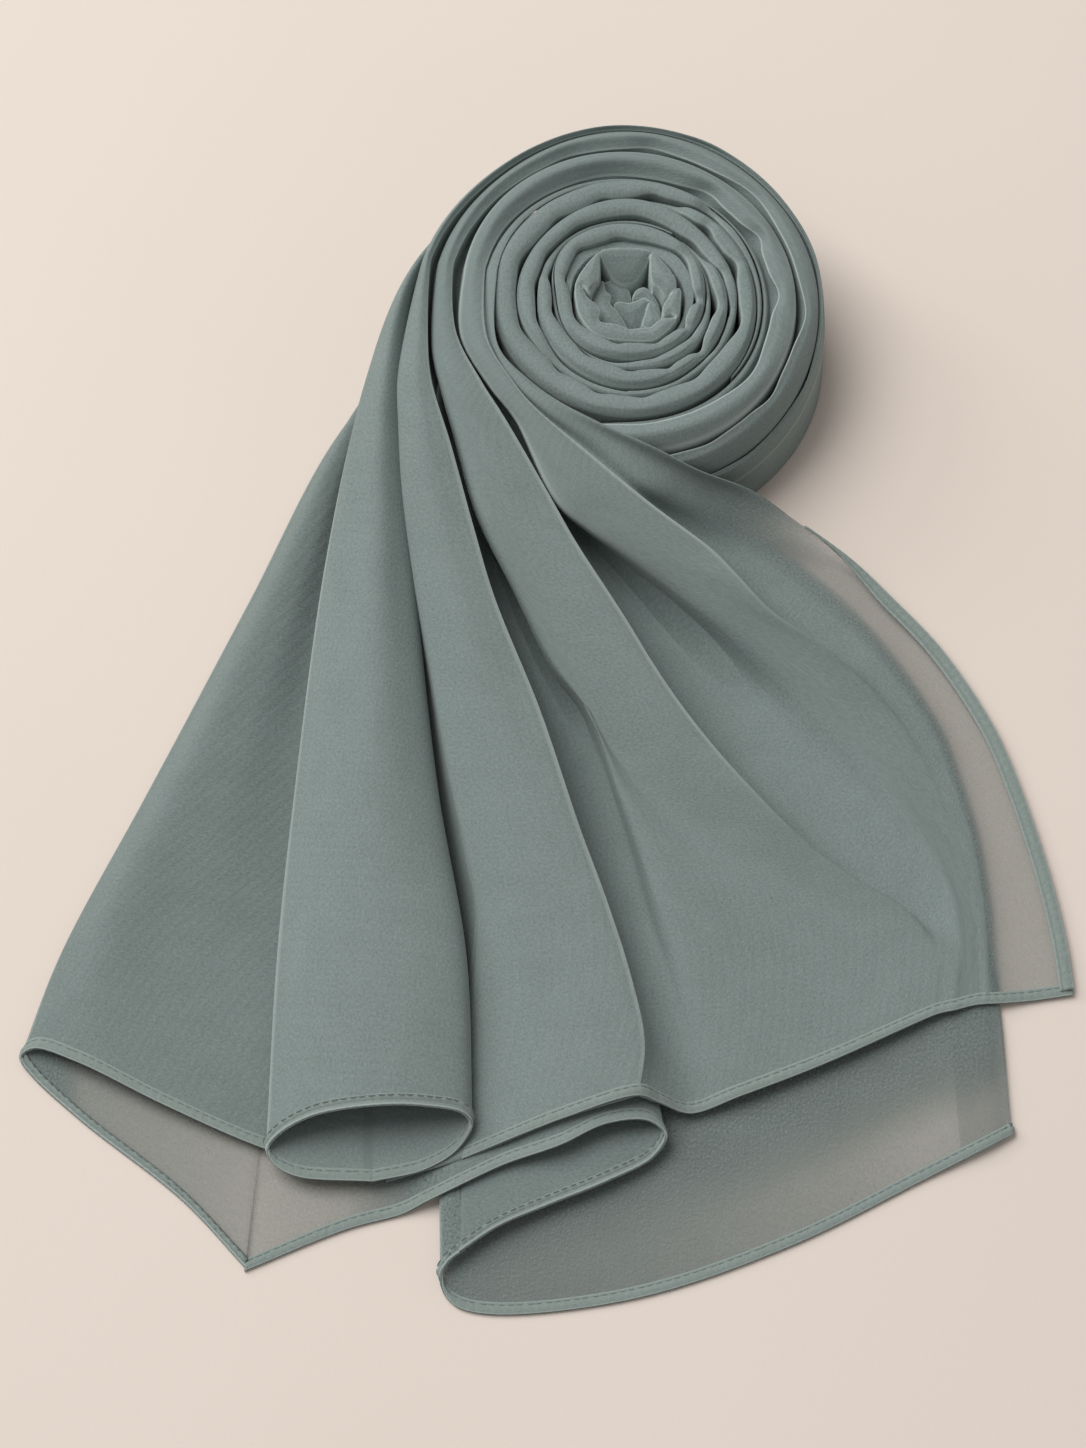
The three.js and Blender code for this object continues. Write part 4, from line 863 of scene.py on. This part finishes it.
# %% Fold lines of the other pleats
TUBE_FOLDS = {
    "base": [[-13.6, 139.8, 8], [-31.6, 110.7, 8], [-37.6, 80.5, 7.4], [-41, 34, 5], [-42, -22, 4.2], [-41, -66, 4],
             [-40, -119.4, 3.9]],
    "under_right": [[-12.9, 139.2, 9], [-30.6, 110.9, 8], [-35.2, 80, 7], [-35, 34, 5.6], [-33, -22, 5],
                    [-29, -66, 5],
                    [-28, -116.8, 4.6]],
    "right_low": [[-12.6, 138.8, 13], [-30.4, 111.2, 11], [-33.8, 80, 10], [-32, 34, 8], [-27.6, -22, 7],
                  [-21.2, -66, 8], [-20.2, -112.5, 6.4]],
    "right_edge": [[-12.6, 138.9, 21], [-31, 112, 20], [-33.6, 80, 18], [-32, 34, 13], [-26, -22, 10],
                   [-18.6, -66, 11],
                   [-16.9, -107.6, 9.6]],
    "right_high": [[-12.7, 139, 24], [-31.5, 112.3, 25], [-34.6, 80.6, 23], [-32.8, 34, 16.6], [-26.8, -21.4, 13],
                   [-20, -65.2, 14], [-18.7, -105.4, 12]],
    "top_right": [[-13, 139.3, 26], [-32, 112.6, 28.6], [-37, 82, 26.8], [-36, 34, 19.6], [-30.6, -20, 16.2],
                  [-26, -64, 16.6], [-27.4, -104.4, 14.6]],
    "crest": [[-13.4, 139.7, 28], [-33, 113.4, 31.4], [-40, 84, 29.4], [-41, 37, 22.4], [-40, -19, 19.6],
              [-38, -62, 18], [-38.1, -104.5, 15.6]],
    "top_left": [[-13.8, 140, 27], [-34.2, 113, 29.6], [-43, 86, 26.6], [-49, 38, 20], [-54, -18, 16.4],
                 [-55, -62, 15], [-54, -106.2, 12.6]],
    "left_high": [[-14, 140.2, 25.6], [-34.6, 112.8, 28], [-44.4, 85.2, 24.8], [-52.4, 37.6, 18.4], [-58, -19, 14.4],
                  [-60.6, -63, 12.2], [-62.4, -109.9, 8.8]],
    "left_edge": [[-14.1, 140.3, 24], [-34.8, 112.4, 26], [-45, 84, 22.6], [-54, 37, 16.6], [-60, -20, 12.4],
                  [-63.4, -64, 9.4], [-64.8, -112.7, 6.4]],
    "left_low": [[-14.1, 140.3, 21], [-34.8, 112, 22], [-44, 83.4, 18.6], [-53, 36, 12.6], [-59, -21, 9],
                 [-62.6, -65, 6.8],
                 [-63.6, -115.2, 5.2]],
    "under_left": [[-14, 140.2, 18], [-34.4, 111.6, 18], [-42, 83, 15], [-50, 35, 9.6], [-56, -22, 6.6],
                   [-59, -66, 5], [-58.2, -118.2, 4.4]],
    "base_end": [[-13.6, 139.8, 8], [-31.6, 110.7, 8], [-37.6, 80.5, 7.4], [-41, 34, 5], [-42, -22, 4.2],
                 [-41, -66, 4],
                 [-40, -119.4, 3.9]],
}
LEFT_FOLDS = {
    "under_end": [[-32.6, 103, 0.5], [-43, 80, 0.5], [-52, 34, 0.5], [-60, -30, 0.5], [-65, -80, 0.5],
                  [-69.2, -139.6, 0.5]],
    "under_middle": [[-33, 103.4, 0.5], [-46, 80, 0.5], [-60, 34, 0.5], [-76, -24, 0.5], [-86, -70, 0.5],
                     [-85, -123, 0.5]],
    "under_outer": [[-33.4, 103.8, 0.5], [-50, 78, 0.5], [-70, 32, 0.5], [-94, -22, 0.5], [-110, -62, 0.5],
                    [-110, -103.4, 0.5]],
    "fold_low": [[-34, 104.4, 0.8], [-53, 78, 0.8], [-73.6, 32, 0.8], [-97.6, -22, 0.8], [-115.4, -62, 0.8],
                 [-122.6, -92, 0.8]],
    "fold_edge": [[-35, 105.4, 4], [-54.6, 78, 2.8], [-74.8, 32, 2.4], [-98.8, -22, 2.3], [-116.8, -62, 2.2],
                  [-125, -88.4, 2.2]],
    "fold_top": [[-34.6, 105.6, 8], [-53, 78.6, 5], [-73, 33, 3.9], [-97, -21, 3.7], [-115, -61, 3.7],
                 [-121.6, -86.6, 3.9]],
    "top_outer": [[-34.2, 105.8, 12], [-50.6, 79, 10.2], [-68.6, 34, 9.4], [-91, -20, 8.4],
                  [-107.6, -60, 7.4], [-111, -90.2, 4.8]],
    "top_middle": [[-33.6, 106, 12.6], [-47.6, 80, 10], [-62, 34, 8.6], [-79, -22, 7], [-91, -66, 5],
                   [-90, -100.6, 4.2]],
    "top_inner": [[-33, 106, 10], [-45, 80, 7.2], [-55, 33, 4.4], [-65, -26, 3], [-69, -74, 2.7], [-68, -110.2, 2.8]],
    "top_end": [[-32.4, 105.6, 7], [-42.6, 79.6, 4.4], [-47, 33, 2.2], [-50, -26, 2], [-51, -76, 2.1],
                [-51, -115.6, 2.3]],
}
UPPER_FLAP_FOLDS = {
    "flap_start": [[-65.5, -80, 0.4], [-67.1, -108, 0.4], [-69.7, -140, 0.5]],
    "flap_left": [[-52, -80, 0.5], [-48, -104, 0.5], [-46, -130, 0.5]],
    "flap_middle": [[-40, -80, 0.5], [-38, -102, 0.6], [-33, -126.4, 0.8]],
    "flap_rise": [[-29, -77, 2], [-29, -100, 2.2], [-27.4, -124, 2.8]],
    "flap_over": [[-21, -73, 4.2], [-21, -96, 4.6], [-20, -121, 5.4]],
    "flap_up": [[-12, -70, 4.8], [-11, -90, 5.4], [-9, -116, 6.5]],
    "flap_high": [[0, -66, 5], [2, -86, 7.6], [4, -112, 8.8]],
    "flap_crest": [[12, -64, 5], [14, -84, 8.2], [15, -107, 9.6]],
    "flap_turn_top": [[19, -64, 3.8], [22.6, -84, 6.2], [25, -106, 8.4]],
    "right_turn": [[21, -64, 3], [24.8, -85, 4.2], [29, -109, 6]],
    "turn_under": [[19, -65, 2.3], [22.6, -87, 2.9], [26, -113.6, 4]],
    "second_high": [[10, -66, 2.1], [13, -90, 2.8], [15, -119.6, 4.4]],
    "second_middle": [[0, -70, 2.1], [2, -95, 2.8], [1, -125.4, 4.4]],
    "second_low": [[-9, -74, 2.2], [-9, -100, 3], [-10.5, -130.6, 4.8]],
    "second_end": [[-17.6, -77, 2.2], [-18.8, -105, 3], [-19.4, -136.6, 4.6]],
}
BOTTOM_FLAP_FOLDS = {
    "second_start": [[-16.4, -77, 1.8], [-17.4, -105, 2.6], [-18, -135.8, 4.3]],
    "left_turn_top": [[-21.6, -78, 2.1], [-22.4, -107, 2.7], [-21.9, -138.8, 4.1]],
    "left_turn": [[-23.4, -78, 1.4], [-24.2, -109, 1.8], [-23.6, -141.8, 3]],
    "left_turn_low": [[-22, -78, 0.6], [-22.8, -111, 0.8], [-23, -145.4, 1.4]],
    "left_turn_foot": [[-19, -77, 0.5], [-19.6, -111, 0.5], [-20.2, -148.4, 0.7]],
    "third_left": [[-12, -76, 0.5], [-10, -110, 0.5], [-11, -150.3, 0.5]],
    "third_middle": [[14, -68, 0.5], [20, -104, 0.5], [22, -146.4, 0.5]],
    "third_right": [[48, -58, 0.5], [54, -92, 0.5], [58, -134, 0.5]],
    "third_outer": [[80, -50, 0.7], [86, -80, 0.7], [90, -118, 0.7]],
    "right_turn_top": [[100, -46, 2], [104.6, -70, 2], [106, -110, 2]],
    "right_turn": [[106, -45, 1.3], [109.6, -68, 1.3], [111.4, -107, 1.3]],
    "fourth_start": [[100, -46, 0.5], [104.6, -70, 0.5], [106, -110, 0.5]],
    "fourth_end": [[92, -48, 0.5], [97, -74, 0.5], [99, -113.4, 0.5]],
}


def pleat_grid(folds, rows, spacing):
    """Rows by share of each fold line's length, and a curve across them."""
    lines = np.stack([along(points, np.linspace(0, 1, rows)) for points in folds.values()])
    places = across_places(lines, spacing)
    return np.swapaxes(through(lines, places), 0, 1), places


def lay_pleat(name, folds, rows, spacing, dense, edges, node, ripple=0.2, around=False, at_hem=None):
    """A pleat from its fold lines. Dense is how close the weave looks at some columns, at_hem the same at the hem."""
    grid, places = pleat_grid(folds, rows, spacing)
    x, y = grid[..., 0], grid[..., 1]
    share = np.linspace(0, 1, rows)[:, None]
    waves = np.sin(x / 8 + 1.3 * np.sin(y / 27)) * np.sin(y / 15 + 1.9 * np.sin(x / 19 + 2))
    grid[..., 2] += ripple * waves * np.sin(np.pi * share) * soft_step(1.0, 3.0, grid[..., 2])
    columns = list(folds)
    # Painted highlight along the fold lines named in edges.
    edge = np.max([np.clip(1 - np.abs(places - columns.index(e)) / 0.4, 0, 1) for e in edges], axis=0)
    dense, at_hem = (np.interp(places, [columns.index(column) for column in table], list(table.values()))[None, :]
                     for table in (dense, at_hem or dense))
    dense = dense + (at_hem - dense) * soft_step(0.56, 0.86, share)
    if around:
        # The last column is the first one again. Turned over so that the closed way runs by rows, outside up.
        grid, dense = (np.swapaxes(v[:, :-1], 0, 1)[::-1] for v in (grid, dense))
        edge = edge[:-1][::-1, None]
    else:
        edge = edge[None, :]
    piece = lay_cloth(name, grid, chiffon, dense, 0.6 * edge, around=around)
    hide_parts(node)
    return piece


tube = lay_pleat("tube_pleat", TUBE_FOLDS, 150, 1.6, {"base": 1.0}, ("right_edge", "left_edge"), "fan_tube_pleat",
                 around=True)
left_panel = lay_pleat("left_panel", LEFT_FOLDS, 130, 1.8, {"under_end": 0.26, "under_outer": 0.36, "fold_low": 0.9},
                       ("fold_edge",), "fan_left_panel")
upper_flap = lay_pleat("upper_flap", UPPER_FLAP_FOLDS, 60, 1.5,
                       {"flap_start": 0.24, "flap_left": 0.28, "flap_middle": 0.46, "flap_rise": 0.7, "flap_over": 0.88},
                       ("right_turn",), "lower_fold_upper", 0.1)
bottom_flap = lay_pleat("bottom_flap", BOTTOM_FLAP_FOLDS, 60, 2.0,
                        {"left_turn": 0.8, "third_left": 0.66, "right_turn_top": 0.6, "fourth_start": 0.12},
                        ("left_turn", "right_turn"), "lower_fold_bottom", 0.0,
                        at_hem={"left_turn": 0.7, "third_left": 0.55, "third_middle": 0.46, "third_outer": 0.27,
                                "right_turn": 0.26, "fourth_start": 0.08})

# %% [markdown]
# ## Hems
# Each raw edge is turned twice and stitched, so the last 3 mm are three plies: a narrow band, paler and
# stiffer than the cloth, with a rounded edge, a groove where the stitches pull it down and small puckers between
# them. It follows the same fold lines as its panel, 0.3 mm above it.

# %% Hem bands and running stitches
HEM_WIDTH = 3.0
STITCH_LENGTH = 1.5
STITCH_GAP = 0.7
STITCH_FROM_EDGE = 2.3
HEM_LIFT = 0.3
HEM_THICKNESS = 0.95
# Millimetres from the outer edge, and the shape that every hem has across its band: a groove along the stitches, a
# low puff that ends at the inner edge, and a painted highlight as pale lines along both edges.
FROM_EDGE = np.array([0, 0.15, 0.4, 0.8, 1.2, 1.6, 2.0, 2.3, 2.6, 2.9, HEM_WIDTH])[::-1][:, None]
HEM_GROOVE = -0.28 * np.exp(-((FROM_EDGE - STITCH_FROM_EDGE) / 0.3) ** 2)
HEM_PUFF = (0.22 * np.sin(np.pi * np.clip(FROM_EDGE / STITCH_FROM_EDGE, 0, 1))
            - 0.3 * soft_step(2.6, HEM_WIDTH, FROM_EDGE))
HEM_PAINTED_HIGHLIGHT = 0.8 * np.exp(-(FROM_EDGE / 0.22) ** 2) + 0.35 * np.exp(-((FROM_EDGE - HEM_WIDTH) / 0.2) ** 2)


def hem_band(name, folds, node, around=False):
    """Across the band: a round outer edge, a flat middle and a groove at the stitches. Along it: puckers."""
    lines = np.stack([along(points, 1 - FROM_EDGE[:, 0] / length_of(points)) for points in folds])
    places = across_places(lines, 0.7, most=40)
    grid = np.swapaxes(through(lines, places), 0, 1)
    travel = np.cumsum(np.linalg.norm(np.diff(grid[-1], axis=0, prepend=grid[-1][:1]), axis=-1))
    pucker = 0.05 * np.sin(2 * np.pi * travel / (STITCH_LENGTH + STITCH_GAP) + 0.8 * np.sin(travel / 9))[None, :]
    normal = normals_of(grid)
    if around:
        normal = normals_of(np.concatenate([grid[:, -2:-1], grid, grid[:, 1:2]], axis=1))[:, 1:-1]
    puckered = pucker * np.sin(np.pi * np.clip(FROM_EDGE / HEM_WIDTH, 0, 1))
    top = grid + normal * (HEM_LIFT + HEM_GROOVE + HEM_PUFF + puckered)[..., None]
    # Both ways the band carries the painted highlight lines along its edges.
    if around:
        painted_hem_highlight = np.broadcast_to(HEM_PAINTED_HIGHLIGHT, top.shape[:2])
        band = lay_cloth(name, np.swapaxes(top[:, :-1], 0, 1)[::-1], hem_cloth, 0.97,
                         np.swapaxes(painted_hem_highlight[:, :-1], 0, 1)[::-1], HEM_THICKNESS, around=True)
    else:
        band = lay_cloth(name, top, hem_cloth, 0.97, HEM_PAINTED_HIGHLIGHT, HEM_THICKNESS)
    if node:
        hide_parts(node)
    return band, top, travel, normal


def stitch_row(name, top, travel, normal):
    """A small closed bead, six-sided with pointed ends, at each stitch, turned along the hem."""
    line_row = 3
    line, up = top[line_row], normal[line_row]
    centres = np.arange(1.2, travel[-1] - 1.2, STITCH_LENGTH + STITCH_GAP)
    centres = centres + 0.18 * np.sin(centres * 1.7) + 0.12 * np.sin(centres * 4.1)
    stations = centres[:, None] + np.array([-0.5, -0.36, -0.12, 0.12, 0.36, 0.5]) * STITCH_LENGTH
    girth = np.array([0.25, 0.85, 1.0, 1.0, 0.85, 0.25]) * 0.13
    at = np.stack([np.interp(stations, travel, line[:, k]) for k in range(3)], -1)
    over = np.stack([np.interp(stations, travel, up[:, k]) for k in range(3)], -1)
    over /= np.linalg.norm(over, axis=-1, keepdims=True)
    way = np.gradient(at, axis=1)
    way /= np.linalg.norm(way, axis=-1, keepdims=True)
    side = np.cross(over, way)
    turn = np.linspace(0, 2 * np.pi, 6, endpoint=False)
    ring = at[:, :, None] + girth[None, :, None, None] * (np.cos(turn)[:, None] * side[:, :, None]
                                                        + np.sin(turn)[:, None] * over[:, :, None])
    ring = ring + over[:, :, None] * 0.1
    count = len(centres)
    index = np.arange(count * 36).reshape(count, 6, 6)
    wrapped = np.concatenate([index, index[:, :, :1]], axis=2)
    quads = np.stack([wrapped[:, :-1, :-1], wrapped[:, :-1, 1:], wrapped[:, 1:, 1:], wrapped[:, 1:, :-1]], -1)
    faces = quads.reshape(-1, 4).tolist() + index[:, 0, ::-1].tolist() + index[:, -1].tolist()
    mesh = bpy.data.meshes.new(name)
    mesh.from_pydata(((ring.reshape(-1, 3) + DRAWING_SHIFT) * MM).tolist(), [], faces)
    mesh.shade_smooth()
    mesh.materials.append(thread)
    piece = bpy.data.objects.new(name, mesh)
    bpy.context.collection.objects.link(piece)
    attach(piece, "root")
    return piece


thread = new_material("spun_polyester_sewing_thread")
place = add_node(thread, "ShaderNodeTexCoord")
twist = add_node(thread, "ShaderNodeTexNoise", {"Scale": 1 / 0.0003, "Detail": 2.0},
                 {"Vector": place.outputs["Object"]})
shade = add_node(thread, "ShaderNodeMix", {"data_type": "RGBA", 6: linear("#5f6b68"), 7: linear("#7a8784")},
                 {0: twist.outputs["Fac"]})
ridge = add_node(thread, "ShaderNodeBump", {"Strength": 0.3, "Distance": 0.00006}, {"Height": twist.outputs["Fac"]})
fibre = add_node(thread, "ShaderNodeBsdfPrincipled", {"Roughness": 0.6, "Sheen Weight": 0.3},
                 {"Base Color": shade.outputs[2], "Normal": ridge.outputs["Normal"]})
add_node(thread, "ShaderNodeOutputMaterial", None, {"Surface": fibre.outputs["BSDF"]})

fan_folds = [[*WOUND_FOLDS[n][2]] for n in fold_names[3:]]
hems = {}
for name, folds, node in (
    ("hem_centre", fan_folds, "hem_centre_panel"),
    ("hem_tube", list(TUBE_FOLDS.values()), "hem_tube_pleat"),
    ("hem_left", list(LEFT_FOLDS.values()), "hem_left_panel"),
    ("hem_upper_flap", list(UPPER_FLAP_FOLDS.values()), "hem_fold_upper"),
    ("hem_bottom_flap", list(BOTTOM_FLAP_FOLDS.values()), "hem_fold_bottom"),
):
    band, top, travel, normal = hem_band(name, folds, node, around=name == "hem_tube")
    stitches = stitch_row(name.replace("hem", "stitches"), top, travel, normal)
    inside = stitch_row(name.replace("hem", "stitches_inside"), top - HEM_THICKNESS * normal, travel, -normal)
    hems[name] = [band, stitches, inside]

# %% [markdown]
# ## Hem of the long edge
# The long edge of the rectangle lies at the right of the fan, and its hem shows from the roll down to the corner.

# %% Long edge
EDGE_START = 0.4
edge_rows = 260
edge_share = np.linspace(EDGE_START, 0.995, edge_rows)
outer_line = along(WOUND_FOLDS["long_edge"][2], edge_share)
inner_line = along(WOUND_FOLDS["strip_two"][2], edge_share)
toward = inner_line - outer_line
toward /= np.linalg.norm(toward, axis=1, keepdims=True)
grow = soft_step(EDGE_START, EDGE_START + 0.13, edge_share)[None, :, None]
edge_grid = outer_line[None] + toward[None] * FROM_EDGE[..., None] * grow
travel = np.cumsum(np.linalg.norm(np.diff(outer_line, axis=0, prepend=outer_line[:1]), axis=-1))
pucker = 0.04 * np.sin(2 * np.pi * travel / (STITCH_LENGTH + STITCH_GAP) + 0.8 * np.sin(travel / 7))[None, :]
normal = normals_of(edge_grid)
normal *= np.sign(normal[..., 2:])
rise = (HEM_LIFT + HEM_GROOVE + HEM_PUFF + pucker * np.sin(np.pi * FROM_EDGE / HEM_WIDTH))[..., None]
edge_top = edge_grid + normal * (rise * grow + 0.05)
LONG_HEM_THICKNESS = 0.7
# The long hem carries the same painted highlight lines along its edges.
long_hem = lay_cloth("hem_long_edge", edge_top, hem_cloth, 0.97, HEM_PAINTED_HIGHLIGHT, LONG_HEM_THICKNESS)
long_stitches = stitch_row("stitches_long_edge", edge_top, travel, normal)

# %% [markdown]
# ## What the pieces are
# For every piece of cloth the flat size of the stretch that shows is printed, beside the size of its cut. Round
# the tube and the folds the flat size counts the cloth all round.

# %% Sheets
def flat_size(piece):
    """Half the area of a closed shell in square metres, from its triangles."""
    mesh = piece.data
    mesh.calc_loop_triangles()
    points = np.empty(len(mesh.vertices) * 3)
    mesh.vertices.foreach_get("co", points)
    corners = np.empty(len(mesh.loop_triangles) * 3, int)
    mesh.loop_triangles.foreach_get("vertices", corners)
    a, b, c = points.reshape(-1, 3)[corners.reshape(-1, 3)].transpose(1, 0, 2)
    return float(np.linalg.norm(np.cross(b - a, c - a), axis=1).sum() / 4)


# widest width and longest length of each, what lies on it, and the area of the cut where it is not a rectangle
cuts = {
    wound_cloth: ((0.195, 0.495), 0.0525, [*hems["hem_centre"], long_hem, long_stitches, covered]),
    inner_turns: ((0.04, 0.70), None, []),
    rosette: ((0.04, 0.085), None, []),
    tube: ((0.111, 0.268), 0.0187, hems["hem_tube"]),
    left_panel: ((0.157, 0.247), 0.017, hems["hem_left"]),
    upper_flap: ((0.165, 0.060), 0.0071, hems["hem_upper_flap"]),
    bottom_flap: ((0.172, 0.079), 0.0115, hems["hem_bottom_flap"]),
}
for piece, (flat, area, with_pieces) in cuts.items():
    print(f"{piece.name}: {flat_size(piece):.4f} square metres, cut {flat[0]} by {flat[1]} m")
print("table top at z = 0")
